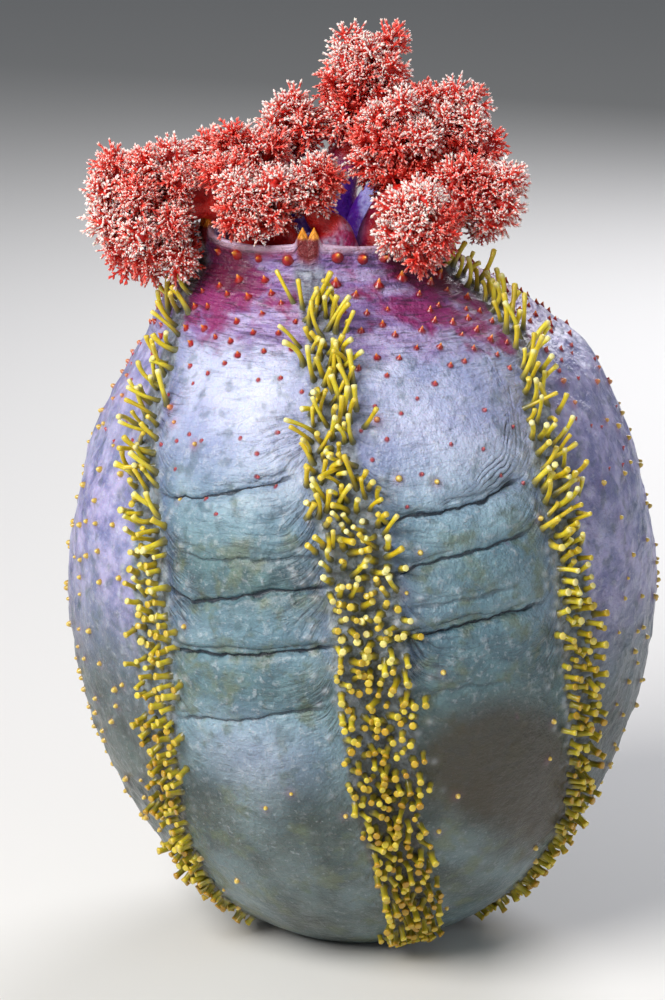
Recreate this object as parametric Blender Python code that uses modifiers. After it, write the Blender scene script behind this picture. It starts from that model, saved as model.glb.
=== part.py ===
# A sea apple: a plump sea cucumber that stands on its rear end, with its crown of ten tentacles spread.
# Metres, +Z up. The mouth end is up, the floor is z = 0 and the origin is the middle of the flat under the body.
# The side with three close rows of tube feet faces -Y. Angles round the body are in degrees from that side,
# growing towards +X.

import math
import random

import bmesh
import bpy
from mathutils import Vector
from mathutils.geometry import interpolate_bezier

# Body: two half ellipses that meet at the widest height, the lower one cut off flat by the floor
WIDEST_RADIUS = 0.0578
WIDEST_HEIGHT = 0.0726
LOWER_DOME = 0.0762
UPPER_DOME = 0.0718
DEPTH_SHARE = 0.96
NECK_RADIUS = 0.0247
NECK_SHARPNESS = 9
TRUNK_TOP = 0.1350
RIM_HEIGHT = 0.1444

# The middle of each cross-section, measured from the origin
LEAN_NECK = -0.0084
NECK_BACK = 0.0020
LEAN_NECK_START = 0.118
LEAN_NECK_END = 0.142

# Swelling of the five panels between the rows of feet, and the shallow waist across the two front ones
PANEL_SWELL = 0.05
PANEL_LEVEL = 0.7
SWELL_FADE = 0.115
WAIST_DEPTH = 0.0016
WAIST_HEIGHT = 0.062
WAIST_SPAN = 0.020
WAIST_ANGLE = 50.0

# Rows of tube feet: the angle and the half width of each row at these heights
STATIONS = (0.000, 0.030, 0.060, 0.090, 0.115, 0.135)
ROWS = {
    "back_left": {
        "angles": (-140, -135, -132, -132, -135, -140),
        "widths": (0.0018, 0.0022, 0.0026, 0.0026, 0.0024, 0.0018),
    },
    "left": {
        "angles": (-66, -51, -45, -48, -60, -66),
        "widths": (0.0032, 0.0042, 0.0048, 0.0046, 0.0034, 0.0026),
    },
    "centre": {
        "angles": (22, 7.5, 2.5, -1.2, -8, -5),
        "widths": (0.0042, 0.0054, 0.0072, 0.0064, 0.0044, 0.0030),
    },
    "right": {
        "angles": (75, 59, 48, 43.5, 46, 66),
        "widths": (0.0030, 0.0040, 0.0046, 0.0042, 0.0034, 0.0026),
    },
    "back_right": {
        "angles": (145, 136, 131, 129, 132, 142),
        "widths": (0.0018, 0.0022, 0.0026, 0.0026, 0.0024, 0.0018),
    },
}
PANEL_COLUMNS = {"back_left": 6, "left": 4, "centre": 4, "right": 6, "back_right": 6}
RINGS = 19

# Bands that carry the feet, let into the body
BAND_DEPTH = 0.0020
BAND_PROUD = 0.0003
GAP = 0.0003
WALL_SLOPE = 0.0002

# Tube feet, whose length changes with height, and the lean that gravity gives the long ones
FOOT_HALF_WIDTH = 0.0008
FOOT_TIP_SHARE = 0.9
FOOT_SHORT = 0.0026
FOOT_LONG = 0.0056
FOOT_LONG_START = 0.080
FOOT_LONG_END = 0.112
BACK_FOOT_SHARE = 0.55
FOOT_CLEAR_OF_FLOOR = 0.0026

# Collar round the mouth, with a pair of points over every row
COLLAR_BOTTOM = TRUNK_TOP + GAP
COLLAR_INNER = 0.0223
LIP_THICKNESS = 0.0020
LIP_SAG = 0.0011
POINT_HEIGHT = 0.0030
POINT_ANGLE = 2.6
SWAG_COLUMNS = 3

# Disc inside the collar, and the mouth in its middle
DISC_TOP = 0.1380
DISC_RADIUS = COLLAR_INNER - GAP
MOUTH_RADIUS = 0.0062
MOUTH_TOP = 0.1415
MOUTH_HOLE = 0.0016
TURNED_STEPS = 28

# Opening at the rear end, low on the back
VENT_ANGLE = 178.0
VENT_HEIGHT = 0.0170
VENT_RADIUS = 0.0042
VENT_DEPTH = 0.0016
VENT_RISE = 0.0022

# Tentacles: angle of the root on the disc, thickness of the stalk at both ends, how far its end droops,
# and each crown's middle and half sizes along and across its stalk. A forked tentacle has two crowns.
# A stalk stands up from its root for a share of its reach: STALK_RISE, or its own rise where it bends sooner.
ROOT_RING = 0.0142
ROOT_LIFT = 0.0002
BIG = (0.0038, 0.0030)
SMALL = (0.0034, 0.0022)
TENTACLES = {
    "1": {
        "root": -60,
        "stalk": BIG,
        "droop": 0.014,
        "rise": 0.57,
        "crowns": [((-0.0419, -0.0120, 0.1480), 0.0110, 0.0140)],
    },
    "2": {"root": -122, "stalk": BIG, "droop": 0.005, "crowns": [((-0.0301, 0.0080, 0.1538), 0.0072, 0.0060)]},
    "3": {"root": -91, "stalk": BIG, "droop": 0.002, "crowns": [((-0.0226, 0.0000, 0.1557), 0.0074, 0.0056)]},
    "4": {"root": -155, "stalk": BIG, "droop": 0.002, "crowns": [((-0.0149, 0.0140, 0.1604), 0.0082, 0.0062)]},
    "5": {"root": 172, "stalk": BIG, "droop": 0.000, "crowns": [((0.0009, 0.0140, 0.1688), 0.0118, 0.0080)]},
    "6": {"root": 132, "stalk": BIG, "droop": 0.004, "crowns": [((0.0166, 0.0090, 0.1590), 0.0128, 0.0092)]},
    "7": {"root": 98, "stalk": BIG, "droop": 0.000, "crowns": [((0.0072, 0.0020, 0.1585), 0.0090, 0.0078)]},
    "8": {
        "root": 57,
        "stalk": BIG,
        "droop": 0.011,
        "crowns": [((0.0237, -0.0040, 0.1501), 0.0074, 0.0082), ((0.0107, -0.0215, 0.1485), 0.0070, 0.0070)],
    },
    "9": {"root": 14, "stalk": SMALL, "droop": 0.000, "crowns": [((-0.0112, -0.0140, 0.1533), 0.0056, 0.0072)]},
    "10": {"root": -26, "stalk": SMALL, "droop": 0.002, "crowns": [((-0.0207, -0.0170, 0.1505), 0.0066, 0.0086)]},
}
STALK_RISE = 0.72
STALK_ENTRY = 0.80
STALK_PULL = 0.35
BRANCH_STEPS = 6
BRANCH_AT = 3
BRANCH_SHARE = 0.75
CROWN_LOBES = 7
CROWN_LOBE_WIDTH = 0.45
CROWN_DIP = 0.30
TUFT_SHARE = 0.74
TUFT_JITTER = 0.06
CROWN_CLEARANCE = 0.0003
CROWN_SEAT = 0.0006

# Colours of the parts
MATERIALS = {
    "body_skin": ((0.42, 0.47, 0.62, 1.0), 0.42),
    "collar_skin": ((0.50, 0.22, 0.42, 1.0), 0.40),
    "mouth_skin": ((0.30, 0.12, 0.55, 1.0), 0.35),
    "tube_feet": ((0.80, 0.62, 0.05, 1.0), 0.45),
    "tentacle_stalk": ((0.70, 0.03, 0.02, 1.0), 0.35),
    "tentacle_crown": ((0.85, 0.32, 0.26, 1.0), 0.50),
}


def clear_scene():
    for obj in list(bpy.data.objects):
        bpy.data.objects.remove(obj, do_unlink=True)


def ease(start, end, value):
    """0 before start, 1 after end, and smooth between them."""
    share = min(1.0, max(0.0, (value - start) / (end - start)))
    return share * share * (3 - 2 * share)


def middle(z):
    """Where the body's middle lies at a height."""
    high = ease(LEAN_NECK_START, LEAN_NECK_END, z)
    return LEAN_NECK * high, NECK_BACK * high


def profile(z):
    """Mean radius of the body at a height, widened into the neck near the top."""
    dome = LOWER_DOME if z < WIDEST_HEIGHT else UPPER_DOME
    reach = min(1.0, abs(z - WIDEST_HEIGHT) / dome)
    oval = WIDEST_RADIUS * math.sqrt(1 - reach * reach)
    if z < WIDEST_HEIGHT:
        return oval
    return (oval**NECK_SHARPNESS + NECK_RADIUS**NECK_SHARPNESS) ** (1 / NECK_SHARPNESS)


def along_stations(values, z):
    """A smooth curve through a row's values at the stations."""
    z = min(STATIONS[-1], max(STATIONS[0], z))
    last = len(STATIONS) - 1
    i = max(k for k in range(last) if STATIONS[k] <= z)
    slopes = []
    for k in (i, i + 1):
        low, high = max(0, k - 1), min(last, k + 1)
        slopes.append((values[high] - values[low]) / (STATIONS[high] - STATIONS[low]))
    span = STATIONS[i + 1] - STATIONS[i]
    t = (z - STATIONS[i]) / span
    ends = values[i] * (1 + 2 * t) * (1 - t) ** 2 + values[i + 1] * t * t * (3 - 2 * t)
    return ends + span * (slopes[0] * t * (1 - t) ** 2 - slopes[1] * t * t * (1 - t))


def row_angle(name, z):
    return along_stations(ROWS[name]["angles"], z)


def row_half_width(name, z):
    return along_stations(ROWS[name]["widths"], z)


def panel_share(angle, z):
    """How far an angle lies across the panel that holds it, from 0 at one row to 1 at the next."""
    names = list(ROWS)
    angles = [row_angle(name, z) for name in names]
    for start, end in zip(angles, angles[1:] + [angles[0] + 360]):
        across = (angle - start) % 360
        if across <= end - start:
            return across / (end - start)
    return 0.0


def radius(angle, z):
    """Distance from the body's middle to its skin."""
    swell = math.sin(math.pi * panel_share(angle, z)) ** 0.75 - PANEL_LEVEL
    fade = ease(0.0, 0.02, z) * (1 - ease(SWELL_FADE, TRUNK_TOP, z))
    from_front = (angle + 180) % 360 - 180
    front = max(0.0, math.cos(math.radians(min(90.0, abs(from_front) * 90 / WAIST_ANGLE))))
    waist = WAIST_DEPTH * front * math.exp(-(((z - WAIST_HEIGHT) / WAIST_SPAN) ** 2))
    return profile(z) * (1 + PANEL_SWELL * swell * fade) - waist


def place(angle, z, distance):
    """The point at a distance from the body's middle, in the direction of an angle."""
    x, y = middle(z)
    turn = math.radians(angle)
    return Vector((x + distance * math.sin(turn), y - distance * DEPTH_SHARE * math.cos(turn), z))


def ring_heights():
    """Heights of the body's rings, evenly spaced round its side view."""
    start = -math.asin(WIDEST_HEIGHT / LOWER_DOME)
    end = math.asin((TRUNK_TOP - WIDEST_HEIGHT) / UPPER_DOME)
    heights = []
    for i in range(RINGS):
        turn = start + (end - start) * i / (RINGS - 1)
        dome = LOWER_DOME if turn < 0 else UPPER_DOME
        heights.append(WIDEST_HEIGHT + dome * math.sin(turn))
    heights[0] = 0.0
    heights[-1] = TRUNK_TOP
    return heights


def trunk_columns(z):
    """Angle and distance of each of the trunk's columns at a height, with a channel for each band."""
    names = list(ROWS)
    columns = []
    for index, name in enumerate(names):
        at = row_angle(name, z)
        skin = radius(at, z)
        outer = math.degrees((row_half_width(name, z) + GAP) / skin)
        inner = math.degrees((row_half_width(name, z) + GAP - WALL_SLOPE) / skin)
        floor = BAND_DEPTH + GAP
        for offset, depth in ((-outer, 0), (-inner, floor), (0, floor), (inner, floor), (outer, 0)):
            columns.append((at + offset, radius(at + offset, z) - depth))
        following = names[(index + 1) % len(names)]
        next_at = row_angle(following, z) + (360 if following == names[0] else 0)
        next_outer = math.degrees((row_half_width(following, z) + GAP) / radius(next_at, z))
        start, end = at + outer, next_at - next_outer
        count = PANEL_COLUMNS[name]
        for step in range(1, count + 1):
            angle = start + (end - start) * step / (count + 1)
            columns.append((angle, radius(angle, z)))
    return columns


def new_object(name, mesh, collection, material):
    obj = bpy.data.objects.new(name, mesh)
    collection.objects.link(obj)
    if material:
        mesh.materials.append(material)
    return obj


def finish_mesh(bm, name, turn_out=True):
    """Turns a bmesh into a smooth-shaded mesh, with its faces turned outwards where they may not be."""
    if turn_out:
        bmesh.ops.recalc_face_normals(bm, faces=bm.faces)
    mesh = bpy.data.meshes.new(name)
    bm.to_mesh(mesh)
    bm.free()
    mesh.shade_smooth()
    mesh.set_sharp_from_angle(angle=math.radians(40))
    return mesh


def build_trunk(collection, material):
    """A sphere whose rings and columns are moved to the body's heights and angles."""
    heights = ring_heights()
    columns = sum(PANEL_COLUMNS.values()) + 5 * len(ROWS)
    bm = bmesh.new()
    bmesh.ops.create_uvsphere(bm, u_segments=columns, v_segments=RINGS + 1, radius=1.0)
    table = [trunk_columns(z) for z in heights]
    for vertex in bm.verts:
        co = vertex.co
        if math.hypot(co.x, co.y) < 1e-4:
            z = heights[0] if co.z < 0 else heights[-1]
            x, y = middle(z)
            vertex.co = (x, y, z)
            continue
        ring = round(math.acos(max(-1.0, min(1.0, -co.z))) / math.pi * (RINGS + 1)) - 1
        column = round(math.atan2(co.y, co.x) / math.tau * columns) % columns
        angle, distance = table[ring][column]
        vertex.co = place(angle, heights[ring], distance)
    return new_object("trunk", finish_mesh(bm, "trunk"), collection, material)


def foot_length(name, z):
    long_share = ease(FOOT_LONG_START, FOOT_LONG_END, z)
    length = FOOT_SHORT + (FOOT_LONG - FOOT_SHORT) * long_share
    return length * (BACK_FOOT_SHARE if name.startswith("back") else 1.0)


def grow_foot(bm, face, length):
    """Insets a square in a face of the band and draws it out into a blunt tube foot."""
    centre = face.calc_center_median()
    normal = face.normal.copy()
    along = Vector((0, 0, 1)) - normal * normal.z
    along.normalize()
    across = along.cross(normal)
    bmesh.ops.inset_individual(bm, faces=[face], thickness=0.0004, use_even_offset=True)
    tip = bmesh.ops.extrude_discrete_faces(bm, faces=[face])["faces"][0]
    lean = (normal + Vector((0, 0, 0.25))).normalized() if length > FOOT_SHORT * 1.2 else normal
    for vertex in tip.verts:
        offset = vertex.co - centre
        side = math.copysign(FOOT_HALF_WIDTH, offset.dot(across))
        rise = math.copysign(FOOT_HALF_WIDTH, offset.dot(along))
        root = centre + across * side + along * rise
        for edge in vertex.link_edges:
            low = edge.other_vert(vertex)
            if low not in tip.verts:
                low.co = root
        vertex.co = centre + (across * side + along * rise) * FOOT_TIP_SHARE + lean * length


def build_band(name, collection, material):
    """The band of skin under one row of feet, with the feet drawn out of its faces."""
    heights = ring_heights()
    across = 3 if name == "centre" else 2
    bm = bmesh.new()
    bmesh.ops.create_grid(bm, x_segments=across, y_segments=len(heights) - 1, size=1.0)
    bm.verts.ensure_lookup_table()
    for vertex in bm.verts:
        side = vertex.co.x
        ring = round((vertex.co.y + 1) / 2 * (len(heights) - 1))
        z = heights[ring]
        at = row_angle(name, z)
        angle = at + side * math.degrees(row_half_width(name, z) / radius(at, z))
        vertex.co = place(angle, z, radius(angle, z) + BAND_PROUD)
    bmesh.ops.recalc_face_normals(bm, faces=bm.faces)
    front = sorted(bm.faces, key=lambda f: (round(f.calc_center_median().z, 4), f.calc_center_median().x))
    x, y = middle(WIDEST_HEIGHT)
    outward = front[len(front) // 2].calc_center_median() - Vector((x, y, WIDEST_HEIGHT))
    if front[len(front) // 2].normal.dot(outward) < 0:
        bmesh.ops.reverse_faces(bm, faces=bm.faces)
    thicken(bm)
    raise_feet(bm, name, across)
    mesh = bpy.data.meshes.new("feet_" + name)
    bm.to_mesh(mesh)
    bm.free()
    mesh.shade_smooth()
    mesh.set_sharp_from_angle(angle=math.radians(40))
    return new_object("feet_" + name, mesh, collection, material)


def thicken(bm):
    """Adds the band's underside at BAND_DEPTH and closes its rim."""
    top = list(bm.faces)
    for face in top:
        face.tag = True
    under = {}
    for vertex in list(bm.verts):
        x, y = middle(vertex.co.z)
        out = Vector((vertex.co.x - x, (vertex.co.y - y) / DEPTH_SHARE, 0))
        shorter = out * (1 - (BAND_DEPTH + BAND_PROUD) / out.length)
        under[vertex] = bm.verts.new((x + shorter.x, y + shorter.y * DEPTH_SHARE, vertex.co.z))
    rim = [edge for edge in bm.edges if len(edge.link_faces) == 1]
    for face in top:
        bm.faces.new([under[v] for v in reversed(face.verts)])
    for edge in rim:
        face = edge.link_faces[0]
        start, end = edge.verts
        loop = next(l for l in face.loops if l.edge == edge)
        if loop.vert != start:
            start, end = end, start
        bm.faces.new((end, start, under[start], under[end]))
    bm.normal_update()


def raise_feet(bm, name, across):
    """Draws a foot out of every other face of the band, clear of the floor."""
    top = [face for face in bm.faces if face.tag]
    top.sort(key=lambda f: round(f.calc_center_median().z, 5))
    rows = [top[i : i + across] for i in range(0, len(top), across)]
    for row_index, row in enumerate(rows):
        row.sort(key=lambda f: math.atan2(f.calc_center_median().y, f.calc_center_median().x))
        for column, face in enumerate(row):
            centre = face.calc_center_median()
            sparse = name.startswith("back") and row_index % 2
            if (row_index + column) % 2 or sparse or centre.z < FOOT_CLEAR_OF_FLOOR:
                continue
            grow_foot(bm, face, foot_length(name, centre.z))


def collar_columns():
    """Angle and height of the collar's lip at each column: points over the rows and swags between them."""
    names = list(ROWS)
    columns = []
    for index, name in enumerate(names):
        at = row_angle(name, RIM_HEIGHT)
        for step, lift in ((-2, 0.0), (-1, POINT_HEIGHT), (0, POINT_HEIGHT * 0.2), (1, POINT_HEIGHT), (2, 0.0)):
            columns.append((at + step * POINT_ANGLE, lift))
        following = names[(index + 1) % len(names)]
        next_at = row_angle(following, RIM_HEIGHT) + (360 if following == names[0] else 0)
        start, end = at + 2 * POINT_ANGLE, next_at - 2 * POINT_ANGLE
        for step in range(1, SWAG_COLUMNS + 1):
            share = step / (SWAG_COLUMNS + 1)
            columns.append((start + (end - start) * share, -LIP_SAG * math.sin(math.pi * share)))
    return columns


def collar_section(angle, lift):
    """Distance, height and share of the lip's lift for each point round the collar's wall."""
    lip = profile(RIM_HEIGHT)
    low, mid = COLLAR_BOTTOM, (COLLAR_BOTTOM + RIM_HEIGHT) / 2
    under_lip = RIM_HEIGHT - LIP_THICKNESS * 0.6
    outside = ((profile(low), low, 0.0), (profile(mid), mid, 0.0), (lip, under_lip, 0.35))
    inside = (
        (lip - LIP_THICKNESS * 0.5, RIM_HEIGHT, 1.0),
        (lip - LIP_THICKNESS, under_lip, 0.35),
        (COLLAR_INNER, DISC_TOP + 0.0010, 0.0),
        (COLLAR_INNER, low, 0.0),
    )
    points = [place(angle, z, distance) + Vector((0, 0, share * lift)) for distance, z, share in outside]
    for distance, z, share in inside:
        point = place(angle, RIM_HEIGHT, distance)
        point.z = z + share * lift
        points.append(point)
    return points


def build_collar(collection, material):
    """A ring whose sections are moved to the collar's wall and lip."""
    columns = collar_columns()
    sections = [collar_section(angle, lift) for angle, lift in columns]
    rounds = len(sections[0])
    bm = bmesh.new()
    vertices = [[bm.verts.new(point) for point in section] for section in sections]
    for i, section in enumerate(vertices):
        following = vertices[(i + 1) % len(vertices)]
        for j in range(rounds):
            k = (j + 1) % rounds
            bm.faces.new((section[j], following[j], following[k], section[k]))
    return new_object("collar", finish_mesh(bm, "collar"), collection, material)


def turned(name, outline, collection, material, steps=TURNED_STEPS):
    """A profile, run down its outer side, turned about Z with a Screw modifier."""
    mesh = bpy.data.meshes.new(name)
    mesh.from_pydata([(r, 0, z) for r, z in outline], [(i, i + 1) for i in range(len(outline) - 1)], [])
    obj = new_object(name, mesh, collection, material)
    screw = obj.modifiers.new("turn", "SCREW")
    screw.steps = steps
    screw.render_steps = steps
    screw.use_merge_vertices = True
    screw.merge_threshold = 0.00001
    screw.use_smooth_shade = True
    return obj


def build_mouth_disc(collection, material):
    """The disc inside the collar, with a seat for the mouth."""
    seat = MOUTH_RADIUS + GAP
    outline = [
        (0, DISC_TOP - 0.0010),
        (seat, DISC_TOP - 0.0010),
        (seat, DISC_TOP),
        (DISC_RADIUS, DISC_TOP),
        (DISC_RADIUS, COLLAR_BOTTOM),
        (0, COLLAR_BOTTOM),
    ]
    disc = turned("mouth_disc", outline, collection, material)
    x, y = middle(RIM_HEIGHT)
    disc.location = (x, y, 0)
    disc.scale = (1, DEPTH_SHARE, 1)
    low = DISC_TOP - 0.0010 + GAP
    lips = [
        (0, MOUTH_TOP - 0.0016),
        (MOUTH_HOLE, MOUTH_TOP - 0.0010),
        (MOUTH_HOLE + 0.0010, MOUTH_TOP),
        (MOUTH_HOLE + 0.0022, MOUTH_TOP - 0.0005),
        (MOUTH_RADIUS, DISC_TOP + 0.0004),
        (MOUTH_RADIUS, low),
        (0, low),
    ]
    mouth = turned("mouth", lips, collection, material, 20)
    mouth.location = (x, y, 0)
    mouth.scale = (1, DEPTH_SHARE, 1)


def build_vent(trunk, collection, cutters, material):
    """The pursed opening of the rear end, seated in a round recess in the trunk."""
    surface = place(VENT_ANGLE, VENT_HEIGHT, radius(VENT_ANGLE, VENT_HEIGHT))
    above = place(VENT_ANGLE, VENT_HEIGHT + 0.002, radius(VENT_ANGLE, VENT_HEIGHT + 0.002))
    aside = place(VENT_ANGLE + 2, VENT_HEIGHT, radius(VENT_ANGLE + 2, VENT_HEIGHT))
    outward = (aside - surface).cross(above - surface).normalized()
    turn = Vector((0, 0, 1)).rotation_difference(outward)
    outline = [
        (0, 0.0004),
        (0.0011, 0.0010),
        (0.0018, VENT_RISE),
        (0.0027, VENT_RISE - 0.0003),
        (VENT_RADIUS, 0.0002),
        (VENT_RADIUS, -VENT_DEPTH),
        (0, -VENT_DEPTH),
    ]
    vent = turned("vent", outline, collection, material, 18)
    vent.location = surface
    vent.rotation_mode = "QUATERNION"
    vent.rotation_quaternion = turn
    bpy.ops.mesh.primitive_cylinder_add(vertices=18, radius=VENT_RADIUS + GAP, depth=0.012)
    cutter = bpy.context.active_object
    cutter.name = "vent_recess"
    cutter.location = surface + outward * (0.006 - VENT_DEPTH - GAP)
    cutter.rotation_mode = "QUATERNION"
    cutter.rotation_quaternion = turn
    cutter.hide_render = True
    cutter.display_type = "WIRE"
    for holder in list(cutter.users_collection):
        holder.objects.unlink(cutter)
    cutters.objects.link(cutter)
    cut = trunk.modifiers.new("vent_recess", "BOOLEAN")
    cut.operation = "DIFFERENCE"
    cut.solver = "EXACT"
    cut.object = cutter


def root_point(tentacle):
    x, y = middle(RIM_HEIGHT)
    turn = math.radians(tentacle["root"])
    z = DISC_TOP + ROOT_LIFT + GAP
    return Vector((x + ROOT_RING * math.sin(turn), y - ROOT_RING * math.cos(turn), z))


def stalk_end(start, crown, droop):
    """Where a stalk meets its crown, and its direction there."""
    centre, along, _ = crown
    centre = Vector(centre)
    direction = (centre - start - Vector((0, 0, droop))).normalized()
    return centre - direction * along * STALK_ENTRY, direction


def tube(name, start, end, leave, direction, radii, rise):
    """The mesh of a tapered tube that leaves its start along one direction and bends over to another."""
    curve = bpy.data.curves.new(name, "CURVE")
    curve.dimensions = "3D"
    curve.bevel_depth = 1.0
    curve.bevel_resolution = 2
    curve.resolution_u = 4
    curve.use_fill_caps = True
    spline = curve.splines.new("BEZIER")
    spline.bezier_points.add(1)
    first, last = spline.bezier_points
    reach = (end - start).length
    first.co, last.co = start, end
    for point in (first, last):
        point.handle_left_type = "FREE"
        point.handle_right_type = "FREE"
    first.handle_left = start - leave * reach * rise
    first.handle_right = start + leave * reach * rise
    last.handle_left = end - direction * reach * STALK_PULL
    last.handle_right = end + direction * reach * STALK_PULL
    first.radius, last.radius = radii
    holder = bpy.data.objects.new(name, curve)
    mesh = bpy.data.meshes.new_from_object(holder)
    bpy.data.objects.remove(holder)
    bm = bmesh.new()
    bm.from_mesh(mesh)
    bmesh.ops.remove_doubles(bm, verts=bm.verts, dist=0.00001)
    bpy.data.meshes.remove(mesh)
    return finish_mesh(bm, name)


def all_crowns():
    return [
        (name, index, crown)
        for name, tentacle in TENTACLES.items()
        for index, crown in enumerate(tentacle["crowns"])
    ]


def neighbour_planes(name, index):
    """Planes between a crown and its neighbours and the collar's lip, as a point and a normal that leads out."""
    centre, along, across = TENTACLES[name]["crowns"][index]
    centre = Vector(centre)
    size = (along + across) / 2
    planes = []
    for other_name, other_index, (other, other_along, other_across) in all_crowns():
        if (other_name, other_index) == (name, index):
            continue
        other_size = (other_along + other_across) / 2
        towards = Vector(other) - centre
        share = size / (size + other_size)
        planes.append((centre + towards * share - towards.normalized() * CROWN_CLEARANCE, towards.normalized()))
    x, y = middle(RIM_HEIGHT)
    out = Vector((centre.x - x, centre.y - y, 0)).normalized()
    lip = Vector((x, y, RIM_HEIGHT + POINT_HEIGHT * 0.5)) + out * (profile(RIM_HEIGHT) - LIP_THICKNESS * 0.5)
    if lip.z < centre.z:
        towards = (lip - centre).normalized()
        planes.append((lip - towards * CROWN_CLEARANCE, towards))
    return planes


def spread_directions(count, turn):
    """Directions spread evenly over a ball, turned about its axis."""
    directions = []
    for i in range(count):
        height = 1 - (2 * i + 1) / count
        angle = i * math.pi * (3 - math.sqrt(5)) + turn
        flat = math.sqrt(1 - height * height)
        directions.append(Vector((flat * math.cos(angle), flat * math.sin(angle), height)))
    return directions


def build_crown(node, name, index, entry, direction, collection, material):
    """A ball drawn out into lobes and tufts, kept in its own room between the other crowns."""
    centre, along, across = TENTACLES[name]["crowns"][index]
    centre = Vector(centre)
    planes = neighbour_planes(name, index)
    planes.append((entry + direction * CROWN_SEAT, -direction))
    chance = random.Random(node)
    lobes = spread_directions(CROWN_LOBES, chance.uniform(0, math.tau))
    coarse = bmesh.new()
    bmesh.ops.create_icosphere(coarse, subdivisions=2, radius=1.0)
    tufts = [vertex.co.normalized() for vertex in coarse.verts]
    coarse.free()
    turn = Vector((0, 0, 1)).rotation_difference(direction)
    bm = bmesh.new()
    bmesh.ops.create_icosphere(bm, subdivisions=3, radius=1.0)
    for vertex in bm.verts:
        ray = vertex.co.normalized()
        lobe = max(ease(1 - CROWN_LOBE_WIDTH, 1, ray.dot(lobe)) for lobe in lobes)
        is_tuft = max(ray.dot(tuft) for tuft in tufts) > 0.999
        reach = (1 - CROWN_DIP + CROWN_DIP * lobe) * (1.0 if is_tuft else TUFT_SHARE)
        reach += chance.uniform(-TUFT_JITTER, TUFT_JITTER)
        offset = turn @ Vector((ray.x * across, ray.y * across, ray.z * along)) * reach
        for point, normal in planes:
            room = (point - centre).dot(normal)
            if offset.dot(normal) > room:
                offset *= room / offset.dot(normal)
        vertex.co = centre + offset
    return new_object(node, finish_mesh(bm, node, turn_out=False), collection, material)


def branch_start(start, end, leave, direction, thickness, crown, rise):
    """Where a second branch leaves a stalk, just off its side, and the way it leaves."""
    reach = (end - start).length
    handles = start + leave * reach * rise, end - direction * reach * STALK_PULL
    path = interpolate_bezier(start, *handles, end, BRANCH_STEPS + 1)
    at, after = path[BRANCH_AT], path[BRANCH_AT + 1]
    along = (after - at).normalized()
    out = Vector(crown[0]) - at
    out = (out - along * out.dot(along)).normalized()
    return at + out * (thickness + GAP), out


def build_tentacles(collection, materials):
    """Each tentacle's stalk and crown, and the second stalk and crown of a forked one."""
    for name, tentacle in TENTACLES.items():
        start = root_point(tentacle)
        leave = Vector((0, 0, 1))
        thick, thin = tentacle["stalk"]
        rise = tentacle.get("rise", STALK_RISE)
        for index, crown in enumerate(tentacle["crowns"]):
            node = f"tentacle_{name}" if index == 0 else f"tentacle_{name}_side"
            end, direction = stalk_end(start, crown, tentacle["droop"])
            mesh = tube(node + "_stalk", start, end, leave, direction, (thick, thin), rise)
            new_object(node + "_stalk", mesh, collection, materials["tentacle_stalk"])
            build_crown(node + "_crown", name, index, end, direction, collection, materials["tentacle_crown"])
            if len(tentacle["crowns"]) > index + 1:
                following = tentacle["crowns"][index + 1]
                start, leave = branch_start(start, end, leave, direction, thick, following, rise)
                thick, thin = thick * BRANCH_SHARE, thin * BRANCH_SHARE


def make_materials():
    made = {}
    for name, (colour, roughness) in MATERIALS.items():
        material = bpy.data.materials.new(name)
        material.use_nodes = True
        shader = material.node_tree.nodes["Principled BSDF"]
        shader.inputs["Base Color"].default_value = colour
        shader.inputs["Roughness"].default_value = roughness
        material.diffuse_color = colour
        made[name] = material
    return made


def new_collection(name):
    collection = bpy.data.collections.new(name)
    bpy.context.scene.collection.children.link(collection)
    return collection


def main():
    clear_scene()
    body = new_collection("sea_apple")
    cutters = new_collection("cutters")
    materials = make_materials()
    trunk = build_trunk(body, materials["body_skin"])
    for name in ROWS:
        build_band(name, body, materials["tube_feet"])
    build_collar(body, materials["collar_skin"])
    build_mouth_disc(body, materials["mouth_skin"])
    build_vent(trunk, body, cutters, materials["collar_skin"])
    build_tentacles(body, materials)


main()
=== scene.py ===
import math

import bpy
import numpy as np
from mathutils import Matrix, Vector


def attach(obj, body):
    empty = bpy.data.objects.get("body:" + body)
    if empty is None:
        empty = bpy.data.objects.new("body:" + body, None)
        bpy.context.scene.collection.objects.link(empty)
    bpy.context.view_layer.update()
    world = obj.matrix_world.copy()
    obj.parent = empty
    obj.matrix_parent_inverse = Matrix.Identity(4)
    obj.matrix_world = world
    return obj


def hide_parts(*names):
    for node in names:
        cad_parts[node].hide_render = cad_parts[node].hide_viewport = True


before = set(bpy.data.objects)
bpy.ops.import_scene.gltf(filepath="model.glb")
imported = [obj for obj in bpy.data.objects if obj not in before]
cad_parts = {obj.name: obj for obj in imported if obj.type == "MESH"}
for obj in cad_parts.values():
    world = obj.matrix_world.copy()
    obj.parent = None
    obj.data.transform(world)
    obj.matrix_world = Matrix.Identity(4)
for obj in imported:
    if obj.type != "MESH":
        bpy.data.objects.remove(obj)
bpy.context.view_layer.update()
print("frame loaded:", len(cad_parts), "nodes")

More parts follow.
